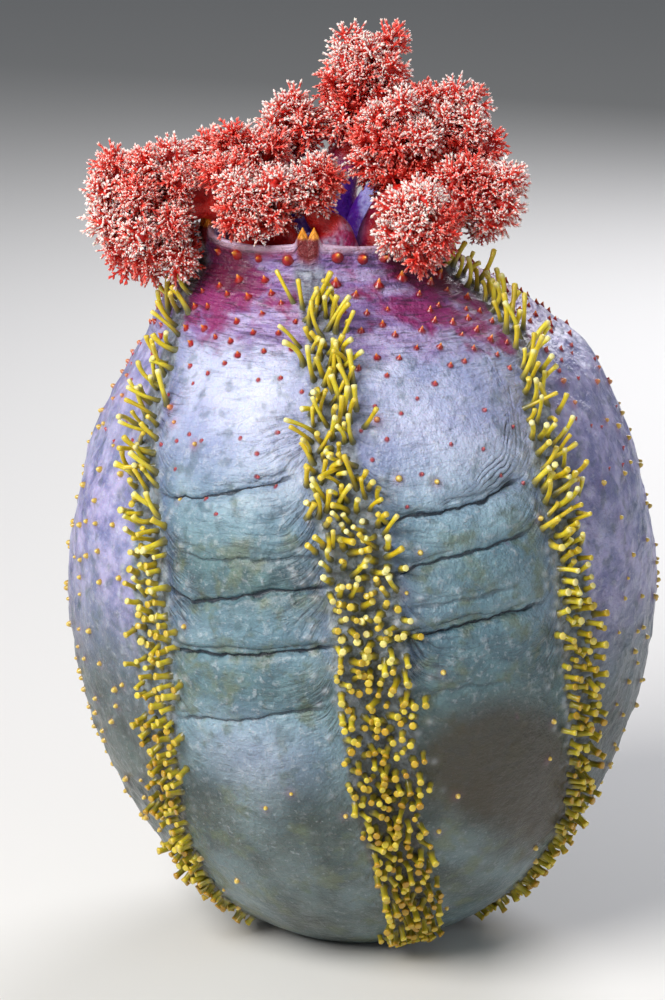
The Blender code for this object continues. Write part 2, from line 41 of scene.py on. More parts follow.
# Lengths are in metres, apart from the lobes of the crowns, which are in millimetres.
# Angles go round the body in degrees, 0 at the front (-Y) and growing towards +X.
# These are the sizes of the solids, so that skin and feet lie where the solids are.
bodyShape = {
    "widestRadius": 0.0578,
    "widestHeight": 0.0726,
    "lowerDome": 0.0762,
    "upperDome": 0.0718,
    "depthShare": 0.96,
    "neckRadius": 0.0247,
    "neckSharpness": 9,
    "rimHeight": 0.1444,
    "leanSide": -0.0084,
    "leanBack": 0.0020,
    "leanStart": 0.118,
    "leanEnd": 0.142,
    "panelSwell": 0.05,
    "panelLevel": 0.7,
    "swellFade": (0.115, 0.135),
    "waistDepth": 0.0016,
    "waistHeight": 0.062,
    "waistSpan": 0.020,
    "waistAngle": 50.0,
}
stations = (0.000, 0.030, 0.060, 0.090, 0.115, 0.135)
rowNames = ("backLeft", "left", "centre", "right", "backRight")
rowAngles = {
    "backLeft": (-140, -135, -132, -132, -135, -140),
    "left": (-66, -51, -45, -48, -60, -66),
    "centre": (22, 7.5, 2.5, -1.2, -8, -5),
    "right": (75, 59, 48, 43.5, 46, 66),
    "backRight": (145, 136, 131, 129, 132, 142),
}
rowHalfWidths = {
    "backLeft": (0.0018, 0.0022, 0.0026, 0.0026, 0.0024, 0.0018),
    "left": (0.0032, 0.0042, 0.0048, 0.0046, 0.0034, 0.0026),
    "centre": (0.0042, 0.0054, 0.0072, 0.0064, 0.0044, 0.0030),
    "right": (0.0030, 0.0040, 0.0046, 0.0042, 0.0034, 0.0026),
    "backRight": (0.0018, 0.0022, 0.0026, 0.0026, 0.0024, 0.0018),
}


# Numbers and noise on whole arrays
def ease(low, high, value):
    share = np.clip((value - low) / (high - low), 0, 1)
    return share * share * (3 - 2 * share)


def hill(value, middle, span):
    return np.exp(-(((value - middle) / span) ** 2))


def unit(vectors):
    return vectors / np.maximum(np.linalg.norm(vectors, axis=-1, keepdims=True), 1e-12)


def latticeValue(x, y, z, seed):
    # a fixed number from -1 to 1 for each whole-number place
    mixed = (x * 73856093) ^ (y * 19349663) ^ (z * 83492791) ^ (seed * 265443576)
    mixed = ((mixed ^ (mixed >> 13)) * 1274126177) & 0xFFFFFFFF
    mixed = ((mixed ^ (mixed >> 15)) * 668265263) & 0xFFFFFFFF
    return ((mixed ^ (mixed >> 16)) & 0xFFFF) / 32767.5 - 1


def noiseAt(points, cell, seed):
    # smooth noise from -1 to 1, with blobs about one cell across
    grid = points / np.asarray(cell)
    low = np.floor(grid).astype(np.int64)
    part = grid - low
    part = part * part * part * (part * (part * 6 - 15) + 10)
    total = 0.0
    for dx in (0, 1):
        for dy in (0, 1):
            for dz in (0, 1):
                weight = part[..., 0] if dx else 1 - part[..., 0]
                weight = weight * (part[..., 1] if dy else 1 - part[..., 1])
                weight = weight * (part[..., 2] if dz else 1 - part[..., 2])
                total = (
                    total
                    + weight * latticeValue(low[..., 0] + dx, low[..., 1] + dy, low[..., 2] + dz, seed)
                )
    return total


# The body's smooth shape
def middleOf(z):
    high = ease(bodyShape["leanStart"], bodyShape["leanEnd"], np.asarray(z, float))
    return bodyShape["leanSide"] * high, bodyShape["leanBack"] * high


def profileOf(z):
    z = np.asarray(z, float)
    dome = np.where(z < bodyShape["widestHeight"], bodyShape["lowerDome"], bodyShape["upperDome"])
    reach = np.minimum(1, np.abs(z - bodyShape["widestHeight"]) / dome)
    oval = bodyShape["widestRadius"] * np.sqrt(1 - reach * reach)
    sharp = bodyShape["neckSharpness"]
    necked = (oval**sharp + bodyShape["neckRadius"] ** sharp) ** (1 / sharp)
    return np.where(z < bodyShape["widestHeight"], oval, necked)


def alongStations(values, z):
    # a smooth curve through one value for each station
    at = np.asarray(stations)
    values = np.asarray(values, float)
    last = len(at) - 1
    z = np.clip(z, at[0], at[-1])
    i = np.clip(np.searchsorted(at, z, side="right") - 1, 0, last - 1)
    low = np.maximum(np.arange(last + 1) - 1, 0)
    high = np.minimum(np.arange(last + 1) + 1, last)
    slopes = (values[high] - values[low]) / (at[high] - at[low])
    span = at[i + 1] - at[i]
    t = (z - at[i]) / span
    ends = values[i] * (1 + 2 * t) * (1 - t) ** 2 + values[i + 1] * t * t * (3 - 2 * t)
    return ends + span * (slopes[i] * t * (1 - t) ** 2 - slopes[i + 1] * t * t * (1 - t))


def rowAngle(name, z):
    return alongStations(rowAngles[name], z)


def rowHalfWidth(name, z):
    return alongStations(rowHalfWidths[name], z)


def panelShare(angle, z):
    # 0 at one row of feet, 1 at the next, going towards +X
    share = np.zeros(np.broadcast(angle, z).shape)
    for index, name in enumerate(rowNames):
        following = rowNames[(index + 1) % len(rowNames)]
        start = rowAngle(name, z)
        span = rowAngle(following, z) + (360 if index == len(rowNames) - 1 else 0) - start
        across = (angle - start) % 360
        share = np.where(across <= span, across / span, share)
    return share


def radiusOf(angle, z):
    swell = np.sin(np.pi * panelShare(angle, z)) ** 0.75 - bodyShape["panelLevel"]
    fade = ease(0.0, 0.02, z) * (1 - ease(*bodyShape["swellFade"], z))
    fromFront = (angle + 180) % 360 - 180
    front = np.cos(np.radians(np.minimum(90, np.abs(fromFront) * 90 / bodyShape["waistAngle"]))).clip(0)
    waist = bodyShape["waistDepth"] * front * hill(z, bodyShape["waistHeight"], bodyShape["waistSpan"])
    return profileOf(z) * (1 + bodyShape["panelSwell"] * swell * fade) - waist


def placeOf(angle, z, distance, centreHeight=None):
    x, y = middleOf(z if centreHeight is None else centreHeight)
    turn = np.radians(angle)
    side = x + distance * np.sin(turn)
    depth = y - distance * bodyShape["depthShare"] * np.cos(turn)
    return np.stack(np.broadcast_arrays(side, depth, z), axis=-1)


def rowReach(angle, z):
    # distance to the edge of the nearest row of feet, negative inside the row
    nearest = np.full(np.broadcast(angle, z).shape, 1.0)
    for name in rowNames:
        apart = np.abs((angle - rowAngle(name, z) + 180) % 360 - 180)
        away = np.radians(apart) * profileOf(z) - rowHalfWidth(name, z)
        nearest = np.minimum(nearest, away)
    return nearest


# Meshes from arrays, and many small shapes gathered in one mesh
def meshFromArrays(name, points, quads, tris, uv):
    corners = np.concatenate([quads.ravel(), tris.ravel()]).astype(np.int32)
    starts = np.concatenate([np.arange(len(quads)) * 4, len(quads) * 4 + np.arange(len(tris)) * 3])
    mesh = bpy.data.meshes.new(name)
    mesh.vertices.add(len(points))
    mesh.vertices.foreach_set("co", points.astype(np.float32).ravel())
    mesh.loops.add(len(corners))
    mesh.loops.foreach_set("vertex_index", corners)
    mesh.polygons.add(len(starts))
    mesh.polygons.foreach_set("loop_start", starts.astype(np.int32))
    mesh.update(calc_edges=True)
    mesh.shade_smooth()
    bakeMap = mesh.uv_layers.new(name="OFBake")
    bakeMap.uv.foreach_set("vector", uv.astype(np.float32).ravel())
    return mesh


def newBundle():
    return {"points": [], "quads": [], "tris": [], "quadUv": [], "triUv": [], "values": {}, "count": 0}


def addToBundle(bundle, points, quads, tris, uv, values, cornerUv=None):
    # uv has one place for each point, unless cornerUv gives one for each corner of the quads and triangles
    points = points.reshape(-1, 3)
    bundle["points"].append(points)
    bundle["quads"].append(quads + bundle["count"])
    bundle["tris"].append(tris + bundle["count"])
    if cornerUv is None:
        cornerUv = uv[quads.ravel()], uv[tris.ravel()]
    bundle["quadUv"].append(cornerUv[0].reshape(-1, 2))
    bundle["triUv"].append(cornerUv[1].reshape(-1, 2))
    for name, value in values.items():
        whole = np.broadcast_to(np.asarray(value, float), (len(points),))
        bundle["values"].setdefault(name, []).append((bundle["count"], whole))
    bundle["count"] += len(points)


def finishBundle(bundle, name, material, replaced=()):
    # makes the piece, stores its values on the points and hands it to the frame
    uv = np.concatenate(bundle["quadUv"] + bundle["triUv"])
    points = np.concatenate(bundle["points"])
    quads = np.concatenate(bundle["quads"])
    tris = np.concatenate(bundle["tris"])
    mesh = meshFromArrays(name, points, quads, tris, uv)
    for valueName, chunks in bundle["values"].items():
        whole = np.zeros(len(points), np.float32)
        for start, values in chunks:
            whole[start : start + len(values)] = values
        mesh.attributes.new(valueName, "FLOAT", "POINT").data.foreach_set("value", whole)
    mesh.materials.append(material)
    piece = bpy.data.objects.new(name, mesh)
    bpy.context.scene.collection.objects.link(piece)
    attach(piece, "root")
    if replaced:
        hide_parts(*replaced)
    print(f"{name}: {len(quads) * 2 + len(tris)} triangles")
    return piece


def sweepTubes(paths, radii, sides):
    # closed tubes round many paths at once, with the ring and the tube of each point
    count, rings, _ = paths.shape
    tangents = unit(np.gradient(paths, axis=1))
    first = tangents[:, 0]
    helper = np.where(np.abs(first[:, 2:]) < 0.9, (0.0, 0.0, 1.0), (1.0, 0.0, 0.0))
    side = unit(np.cross(first, helper))
    turns = np.arange(sides) * math.tau / sides
    columns = []
    for ring in range(rings):
        along = tangents[:, ring]
        side = unit(side - along * np.sum(side * along, axis=1, keepdims=True))
        up = np.cross(along, side)
        spread = side[:, None] * np.cos(turns)[None, :, None] + up[:, None] * np.sin(turns)[None, :, None]
        columns.append(paths[:, ring, None] + radii[:, ring, None, None] * spread)
    body = np.stack(columns, axis=1).reshape(count, rings * sides, 3)
    points = np.concatenate([body, paths[:, -1:]], axis=1)
    ring, column = np.meshgrid(np.arange(rings - 1), np.arange(sides), indexing="ij")
    after = (column + 1) % sides
    quads = np.stack([ring * sides + column, ring * sides + after], axis=-1)
    quads = np.concatenate([quads, quads[..., ::-1] + sides], axis=-1).reshape(-1, 4)
    last = (rings - 1) * sides + np.arange(sides)
    tris = np.stack([last, np.roll(last, -1), np.full(sides, rings * sides)], axis=-1)
    offsets = (np.arange(count) * (rings * sides + 1))[:, None, None]
    ringOf = np.tile(np.append(np.repeat(np.arange(rings), sides), rings - 1), count)
    turnOf = np.tile(np.append(np.tile(np.arange(sides), rings), 0), count)
    tubeOf = np.repeat(np.arange(count), rings * sides + 1)
    return {
        "points": points.reshape(-1, 3),
        "quads": (quads[None] + offsets).reshape(-1, 4),
        "tris": (tris[None] + offsets).reshape(-1, 3),
        "ring": ringOf,
        "turn": turnOf,
        "tube": tubeOf,
    }


def mapPlaces(angle, z):
    # places on the bake map, which unrolls the body: round it across, and up it from bottom to top
    return np.stack([(angle + 180) / 360, 0.05 + 0.9 * arcOf(z) / pickArcs[-1]], axis=-1)


def tuftPatches(roots, tubes, rings, sides, patch):
    # each tuft is a small patch of the bake map at its root's place, root at the bottom and tip at the top
    across = np.abs(tubes["turn"] / sides - 0.5) * 2 - 0.5
    up = tubes["ring"] / max(1, rings - 1) - 0.5
    return np.clip(roots[tubes["tube"]] + patch * np.stack([across, up], axis=-1), 0, 1)


# Node materials
class Finish:
    def __init__(self, name):
        self.material = bpy.data.materials.new(name)
        self.material.use_nodes = True
        self.tree = self.material.node_tree
        self.shader = self.tree.nodes["Principled BSDF"]

    def feed(self, socket, value):
        if isinstance(value, bpy.types.NodeSocket):
            self.tree.links.new(value, socket)
        elif isinstance(value, (tuple, list)) and len(value) == 3 and socket.type == "RGBA":
            socket.default_value = (*value, 1.0)
        else:
            socket.default_value = value

    def place(self):
        return self.tree.nodes.new("ShaderNodeTexCoord").outputs["Object"]

    def value(self, name):
        node = self.tree.nodes.new("ShaderNodeAttribute")
        node.attribute_name = name
        return node.outputs["Fac"]

    def math(self, operation, first, second=0.0, third=0.0):
        node = self.tree.nodes.new("ShaderNodeMath")
        node.operation = operation
        for socket, value in zip(node.inputs, (first, second, third)):
            self.feed(socket, value)
        return node.outputs[0]

    def vary(self, value, noise, amount):
        # the value, raised and lowered by noise that lies around one half
        shift = self.math("MULTIPLY", self.math("SUBTRACT", noise, 0.5), amount)
        return self.math("ADD", value, shift)

    def band(self, value, low, high, bottom=0.0, top=1.0):
        node = self.tree.nodes.new("ShaderNodeMapRange")
        node.interpolation_type = "SMOOTHSTEP"
        for socket, number in zip(node.inputs, (value, low, high, bottom, top)):
            self.feed(socket, number)
        return node.outputs[0]

    def stretch(self, vector, scale):
        node = self.tree.nodes.new("ShaderNodeVectorMath")
        node.operation = "MULTIPLY"
        self.feed(node.inputs[0], vector)
        node.inputs[1].default_value = scale
        return node.outputs[0]

    def noise(self, scale, detail=2.0, roughness=0.5, vector=None, distortion=0.0):
        node = self.tree.nodes.new("ShaderNodeTexNoise")
        self.feed(node.inputs["Vector"], self.place() if vector is None else vector)
        node.inputs["Scale"].default_value = scale
        node.inputs["Detail"].default_value = detail
        node.inputs["Roughness"].default_value = roughness
        node.inputs["Distortion"].default_value = distortion
        return node.outputs["Fac"]

    def ramp(self, value, stops):
        node = self.tree.nodes.new("ShaderNodeValToRGB")
        self.feed(node.inputs[0], value)
        elements = node.color_ramp.elements
        while len(elements) < len(stops):
            elements.new(0.5)
        for element, (position, colour) in zip(elements, stops):
            element.position = position
            element.color = (*colour, 1.0)
        return node.outputs["Color"]

    def mix(self, share, first, second):
        node = self.tree.nodes.new("ShaderNodeMix")
        node.data_type = "RGBA"
        self.feed(node.inputs[0], share)
        self.feed(node.inputs[6], first)
        self.feed(node.inputs[7], second)
        return node.outputs[2]

    def bump(self, height, strength, distance, normal=None):
        node = self.tree.nodes.new("ShaderNodeBump")
        self.feed(node.inputs["Height"], height)
        self.feed(node.inputs["Strength"], strength)
        node.inputs["Distance"].default_value = distance
        if normal is not None:
            self.feed(node.inputs["Normal"], normal)
        return node.outputs["Normal"]

    def surface(self, colour, roughness, normal, **settings):
        self.feed(self.shader.inputs["Base Color"], colour)
        self.feed(self.shader.inputs["Roughness"], roughness)
        self.feed(self.shader.inputs["Normal"], normal)
        for name, value in settings.items():
            self.feed(self.shader.inputs[name.replace("_", " ")], value)
        return self.material


# Where the tube feet, warts and small papillae stand
scatterLook = {
    "seed": 11,
    "footSpacing": {
        "left": 0.0021, "centre": 0.00176, "right": 0.0020, "backLeft": 0.0030, "backRight": 0.0030
    },
    "footLow": 0.0035,
    "footTop": {"left": 0.1375, "centre": 0.1340, "right": 0.1385, "backLeft": 0.1385, "backRight": 0.1385},
    "sparserAbove": (0.098, 0.128),
    "sparser": {"left": 0.35, "centre": 0.05, "right": 0.20, "backLeft": 0.4, "backRight": 0.4},
    "spill": 0.04,  # share of feet that stand outside their row
    "spillReach": 0.0026,
    "footTries": 6500,
    "wartHeights": (0.094, 0.1425),
    "wartSpacing": (0.0034, 0.0052),  # on the neck, and close under the lip
    "wartTries": 3200,
    "papillaSpacing": 0.0042,
    "papillaTries": 3600,
    "noduleSpacing": 0.0016,
    "noduleTries": 3400,
}


def heightPicker():
    # picks heights evenly along the body's side, not evenly in z
    z = np.linspace(0, bodyShape["rimHeight"], 800)
    steps = np.hypot(np.diff(z), np.diff(profileOf(z)))
    arc = np.concatenate([[0], np.cumsum(steps)])
    return z, arc


pickHeights, pickArcs = heightPicker()


def arcOf(z):
    return np.interp(z, pickHeights, pickArcs)


def heightOf(arc):
    return np.interp(arc, pickArcs, pickHeights)


def keepApart(angles, heights, spacing, taken=None):
    # keeps each place in turn if it is clear of those kept before
    points = placeOf(angles, heights, radiusOf(angles, heights))
    spacing = np.broadcast_to(spacing, angles.shape)
    kept = []
    others = np.zeros((0, 3)) if taken is None else taken
    for index, point in enumerate(points):
        near = np.concatenate([others, points[kept]]) if kept else others
        if len(near) and np.min(np.sum((near - point) ** 2, axis=1)) < spacing[index] ** 2:
            continue
        kept.append(index)
    return np.array(kept, int)


def scatterFeet(name, chance):
    tries = scatterLook["footTries"]
    z = heightOf(chance.uniform(arcOf(scatterLook["footLow"]), arcOf(scatterLook["footTop"][name]), tries))
    across = chance.uniform(-1, 1, tries) * rowHalfWidth(name, z)
    spilt = chance.random(tries) < scatterLook["spill"]
    across = across + np.where(spilt, np.sign(across) * scatterLook["spillReach"] * chance.random(tries), 0)
    angle = rowAngle(name, z) + np.degrees(across / profileOf(z))
    spacing = scatterLook["footSpacing"][name] * (1 + 0.12 * chance.uniform(-1, 1, tries))
    spacing = spacing * (1 + scatterLook["sparser"][name] * ease(*scatterLook["sparserAbove"], z))
    kept = keepApart(angle, z, spacing)
    return angle[kept], z[kept]


def wartSizeAt(z):
    # tiny on the shoulders, middling on the neck, big close under the lip
    return 0.00032 + 0.00026 * ease(0.116, 0.127, z) + 0.00034 * ease(0.134, 0.138, z)


def scatterWarts(chance):
    tries = scatterLook["wartTries"]
    z = heightOf(
        chance.uniform(arcOf(scatterLook["wartHeights"][0]), arcOf(scatterLook["wartHeights"][1]), tries)
    )
    angle = chance.uniform(-180, 180, tries)
    away = rowReach(angle, z)
    wanted = 0.10 * ease(0.094, 0.110, z) + 0.90 * ease(0.116, 0.130, z)
    wanted = wanted + 0.22 * hill(away, 0.003, 0.004) * ease(0.100, 0.110, z)
    kept = (chance.random(tries) < wanted) & (away > 0.0010)
    angle, z = angle[kept], z[kept]
    near, lip = scatterLook["wartSpacing"]
    crowd = hill(angle, 52, 16) * ease(0.122, 0.130, z)
    spacing = near + (lip - near) * ease(0.134, 0.139, z) - 0.0012 * crowd
    kept = keepApart(angle, z, spacing * chance.uniform(0.8, 1.25, len(angle)))
    return angle[kept], z[kept]


def scatterPapillae(chance):
    # on the flanks and the back, and a few on the front panels close to the rows
    tries = scatterLook["papillaTries"]
    z = heightOf(chance.uniform(arcOf(0.006), arcOf(0.118), tries))
    angle = chance.uniform(-180, 180, tries)
    away = rowReach(angle, z)
    flank = ease(52, 64, np.abs(angle))
    wanted = (
        (away > 0.0008) & (chance.random(tries) < 0.50 * flank + 0.12 * hill(away, 0.002, 0.004) + 0.012)
    )
    angle, z = angle[wanted], z[wanted]
    kept = keepApart(angle, z, scatterLook["papillaSpacing"] * chance.uniform(0.6, 1.5, len(angle)))
    return angle[kept], z[kept]


def scatterNodules(chance):
    # small pale lumps in the skin between the feet of the front and beside them
    tries = scatterLook["noduleTries"]
    z = heightOf(chance.uniform(arcOf(0.010), arcOf(0.116), tries))
    angle = chance.uniform(-74, 84, tries)
    away = rowReach(angle, z)
    wanted = (
        (away > -0.0045)
        & (chance.random(tries) < hill(away, -0.0004, 0.0036) * (0.40 + 0.60 * hill(z, 0.078, 0.024)))
    )
    angle, z = angle[wanted], z[wanted]
    kept = keepApart(angle, z, scatterLook["noduleSpacing"] * chance.uniform(0.8, 1.5, len(angle)))
    return angle[kept], z[kept]


def scatterAll():
    chance = np.random.default_rng(scatterLook["seed"])
    places = {"feet": {name: scatterFeet(name, chance) for name in rowNames}}
    places["warts"] = scatterWarts(chance)
    places["papillae"] = scatterPapillae(chance)
    places["nodules"] = scatterNodules(chance)
    places["wartSize"] = chance.uniform(0.75, 1.15, len(places["warts"][0]))
    return places


# The skin: one surface over body, collar, mouth disc, mouth, vent and all stalks
skinLook = {
    "columns": 710,
    "frontDetail": 0.42,  # share by which columns crowd towards the front
    "wallRows": 500,
    "upperDetail": 1.1,  # by how much rows crowd above the lowest third
    "floorRows": 14,
    "lipThickness": 0.0013,
    "lipRows": 10,
    "collarInner": 0.0223,
    "collarStep": 0.0012,  # how much the collar narrows just above the disc
    "collarRows": 12,
    "discHeight": 0.1382,
    "discDome": 0.0007,
    "discRows": 30,
    "mound": {"height": 0.0046, "ring": 0.0140, "width": 0.0052, "angles": (62, 100)},
    "mouthRadius": 0.0062,
    "mouthTop": 0.1415,
    "mouthHole": 0.0014,
    "mouthRows": 22,
    "pointHeight": 0.0030,
    "pointAngle": 2.6,
    "pointWidth": 3.7,
    "lipSag": 0.0011,
    "tabProud": 0.0007,
    "wrinkleDepth": 0.00023,
    "neckWrinkleDepth": 0.00034,
    "lumpHeight": 0.00060,
    "pebbleHeight": 0.00013,
    "seatHeight": 0.00050,
    "seatSize": 0.0010,
    "cell": 0.00028,  # the smallest distance between points of the wall
    "foldEdge": 0.0013,  # how far from a fold its line is still known
    "vent": {"angle": 178.0, "height": 0.0170, "size": 0.0040, "rise": 0.0024, "hole": 0.0011},
}

# Deep folds across the front panels, as (angle, height) from end to end
creases = (
    {
        "path": ((-46, 0.0985), (-42, 0.0989), (-35, 0.0996), (-27, 0.1019), (-20, 0.1042), (-14, 0.1060)),
        "depth": 0.0014,
    },
    {"path": ((-42, 0.0900), (-28, 0.0890), (-18, 0.0900), (-8, 0.0912)), "depth": 0.0006},
    {"path": ((-41, 0.0815), (-35, 0.0800), (-26, 0.0820), (-18, 0.0840), (-6, 0.0862)), "depth": 0.0014},
    {"path": ((-40, 0.0705), (-36, 0.0700), (-27, 0.0710), (-10, 0.0730), (-4, 0.0740)), "depth": 0.0017},
    {"path": ((-40, 0.0558), (-25, 0.0580), (-16, 0.0600), (-6, 0.0622)), "depth": 0.0009},
    {
        "path": ((2, 0.0966), (9, 0.0984), (18, 0.1000), (25, 0.1009), (32, 0.1025), (36, 0.1040)),
        "depth": 0.0015,
    },
    {"path": ((4, 0.0872), (14, 0.0903), (22, 0.0921), (32, 0.0935), (36, 0.0942)), "depth": 0.0011},
    {"path": ((7, 0.0812), (19, 0.0830), (31, 0.0848)), "depth": 0.0005},
    {"path": ((5, 0.0750), (14, 0.0770), (22, 0.0787), (31, 0.0796), (37, 0.0802)), "depth": 0.0016},
    {"path": ((11, 0.0640), (20, 0.0655), (29, 0.0662)), "depth": 0.0004},
)
hairlines = {"above": 0.0012, "share": 0.42}  # a fine second fold runs beside each deep one
foldFan = {  # folds that sweep up beside the right row
    "path": (
        (10, 0.0980), (20, 0.1000), (27, 0.1020), (32, 0.1037), (35.5, 0.1070), (38, 0.1120), (39.5, 0.1170)
    ),
    "spacing": 0.0013,
    "folds": 5,
    "depth": 0.00055,
}


def skinColumns():
    turn = np.linspace(-np.pi, np.pi, skinLook["columns"], endpoint=False)
    return np.degrees(turn - skinLook["frontDetail"] * np.sin(turn))


def lipLift(angle):
    # the collar's edge: a pair of points over every row, and swags between them
    lift = np.zeros(angle.shape)
    tab = np.zeros(angle.shape)
    for name in rowNames:
        apart = (angle - rowAngle(name, bodyShape["rimHeight"]) + 180) % 360 - 180
        for side in (-1, 1):
            off = np.abs(apart - side * skinLook["pointAngle"]) / skinLook["pointWidth"]
            lift = np.maximum(lift, skinLook["pointHeight"] * np.clip(1 - off, 0, 1) ** 0.95)
        lift = np.maximum(lift, skinLook["pointHeight"] * 0.32 * np.exp(-((apart / 5.0) ** 4)))
        tab = np.maximum(tab, np.exp(-((apart / 5.6) ** 4)))
    swag = np.sin(np.pi * panelShare(angle, bodyShape["rimHeight"]))
    return lift - skinLook["lipSag"] * swag * (1 - tab), tab


def wallHeights(top):
    arcs = np.linspace(0, arcOf(top), 3000)
    weight = 1 + skinLook["upperDetail"] * ease(0.042, 0.056, heightOf(arcs))
    total = np.concatenate([[0], np.cumsum((weight[1:] + weight[:-1]) / 2)])
    return heightOf(np.interp(np.linspace(0, total[-1], skinLook["wallRows"]), total, arcs))


def wallSections(angle):
    # rows of points from the middle of the floor flat, up the wall and down into the mouth
    rim = bodyShape["rimHeight"]
    wallTop = rim - skinLook["lipThickness"] * 0.5
    lift, tab = lipLift(angle)
    sections = []
    kinds = []

    def addSection(points, kind):
        sections.append(points)
        kinds.append(kind)

    edge = radiusOf(angle, 0.0)
    for share in np.linspace(0.02, 1, skinLook["floorRows"], endpoint=False):
        addSection(placeOf(angle, np.zeros(angle.shape), edge * share), "floor")
    heights = wallHeights(wallTop)
    for z in heights:
        at = placeOf(angle, np.full(angle.shape, z), radiusOf(angle, z))
        at[:, 2] += lift * 0.8 * ease(rim - 0.006, rim, z)
        addSection(at, "wall")
    lipRadius = profileOf(wallTop) - skinLook["lipThickness"] * 0.5
    for turn in np.linspace(0, np.pi, skinLook["lipRows"] + 1)[1:]:
        out = lipRadius + np.cos(turn) * skinLook["lipThickness"] * 0.5
        z = wallTop + np.sin(turn) * skinLook["lipThickness"] * 0.5
        at = placeOf(angle, np.full(angle.shape, z), out, rim)
        at[:, 2] += lift * (0.8 + 0.2 * np.sin(turn))
        addSection(at, "lip")
    inner = lipRadius - skinLook["lipThickness"] * 0.5
    for share in np.linspace(0, 1, skinLook["collarRows"] + 1)[1:]:
        out = (
            inner + (skinLook["collarInner"] - inner) * ease(0, 0.6, share)
            - skinLook["collarStep"] * ease(0.7, 1.0, share)
        )
        z = wallTop + (skinLook["discHeight"] - wallTop) * np.sin(share * np.pi / 2)
        at = placeOf(angle, np.full(angle.shape, z), out, rim)
        at[:, 2] += lift * 0.8 * (1 - ease(0, 0.7, share))
        addSection(at, "inner")
    start = skinLook["collarInner"] - skinLook["collarStep"]
    mound = skinLook["mound"]
    behind = ease(*mound["angles"], np.abs(angle))
    for share in np.linspace(0, 1, skinLook["discRows"] + 1)[1:]:
        out = start + (skinLook["mouthRadius"] - start) * share
        z = skinLook["discHeight"] + skinLook["discDome"] * np.sin(share * np.pi * 0.5)
        at = placeOf(angle, np.full(angle.shape, z), out, rim)
        swell = mound["height"] * behind * hill(out, mound["ring"], mound["width"])
        at[:, 2] += swell * ease(0, 0.2, share) * ease(1, 0.8, share)
        addSection(at, "disc")
    discEnd = skinLook["discHeight"] + skinLook["discDome"]
    rise = skinLook["mouthTop"] - discEnd
    for share in np.linspace(0, 1, skinLook["mouthRows"] + 1)[1:]:
        out = skinLook["mouthRadius"] * (1 - share) ** 0.9 + 0.0002
        ringUp = hill(out, skinLook["mouthHole"] + 0.0012, 0.0018)
        z = discEnd + rise * ringUp - 0.0016 * (1 - ease(0.0002, skinLook["mouthHole"], out))
        pucker = 0.0003 * np.cos(np.radians(angle) * 14) * hill(out, 0.0026, 0.0016)
        addSection(placeOf(angle, np.full(angle.shape, z) + pucker, out, rim), "mouth")
    return np.stack(sections), np.array(kinds), heights, lift, tab


def gridNormals(grid):
    across = np.roll(grid, -1, axis=1) - np.roll(grid, 1, axis=1)
    along = np.gradient(grid, axis=0)
    return unit(np.cross(across, along))


def creaseRelief(path, depth, angle, arc, wobble):
    # height of the surface near one fold, the distance to its line, and how strong it is there
    path = np.array(path)
    off = arc - arcOf(np.interp(angle, path[:, 0], path[:, 1])) - wobble
    fade = ease(path[0, 0] - 2, path[0, 0] + 4, angle) * (1 - ease(path[-1, 0] - 5, path[-1, 0] + 1, angle))
    groove = np.where(off > 0, hill(off, 0, 0.00042), hill(off, 0, 0.0008))
    relief = 0.16 * hill(off, 0.0024, 0.0015) - 0.62 * groove - 0.38 * hill(off, 0, 0.0022)
    return depth * relief * fade, off, fade * min(1, depth / 0.0012)


def foldLines(angle, arc, wall):
    # all folds together: the relief, and for deep and for fine ones the nearest line and its strength
    wobble = (
        0.00050 * noiseAt(wall, 0.0075, 41) + 0.00035 * noiseAt(wall, 0.0025, 42)
        + 0.00018 * noiseAt(wall, 0.0012, 43)
    )
    other = 0.00055 * noiseAt(wall, 0.0062, 44) + 0.00030 * noiseAt(wall, 0.0021, 45)
    broken = ease(-0.25, 0.25, noiseAt(wall, 0.006, 46))
    edge = skinLook["foldEdge"]
    relief = 0
    lines = {}
    for kind in ("deep", "fine"):
        nearest = np.full(arc.shape, edge)
        level = np.zeros(arc.shape)
        for crease in creases:
            path, depth = crease["path"], crease["depth"]
            if kind == "fine":
                path = [(at, height + hairlines["above"]) for at, height in path]
                depth = depth * hairlines["share"]
            height, off, strength = creaseRelief(
                path, depth, angle, arc, wobble if kind == "deep" else other
            )
            if kind == "fine":
                height, strength = height * broken, strength * broken
            relief = relief + height
            nearer = (np.abs(off) < np.abs(nearest)) & (strength > 0.01)
            nearest = np.where(nearer, off, nearest)
            level = np.where(nearer, strength * ease(edge, edge * 0.6, np.abs(off)), level)
        lines[kind] = nearest, level
    return relief, lines, wobble


def fanRelief(angle, arc, wobble):
    path = np.array(foldFan["path"])
    fine = np.linspace(path[0, 0], path[-1, 0], 200)
    base = arcOf(np.interp(fine, path[:, 0], path[:, 1]))
    base = np.convolve(np.pad(base, 8, mode="edge"), np.ones(17) / 17, mode="valid")
    slope = np.gradient(base, np.radians(fine) * 0.050)
    tilt = np.interp(angle, fine, slope)
    off = (arc - np.interp(angle, fine, base) - wobble * 1.1) / np.sqrt(1 + tilt * tilt)
    opening = 0.35 + 0.65 * ease(14, 34, angle)
    turn = off / (foldFan["spacing"] * opening)
    inside = ease(-0.5, 0.1, turn) * (1 - ease(foldFan["folds"] - 0.8, foldFan["folds"] + 0.4, turn))
    fade = (
        ease(10, 17, angle) * (1 - ease(37.5, 40.5, angle))
        * (0.35 + 0.65 * ease(-0.3, 0.2, wobble * 1500))
    )
    level = inside * fade
    groove = (1 - np.abs(np.sin(np.pi * turn))) ** 2.0
    return level * (0.0001 - foldFan["depth"] * groove * opening), turn, level


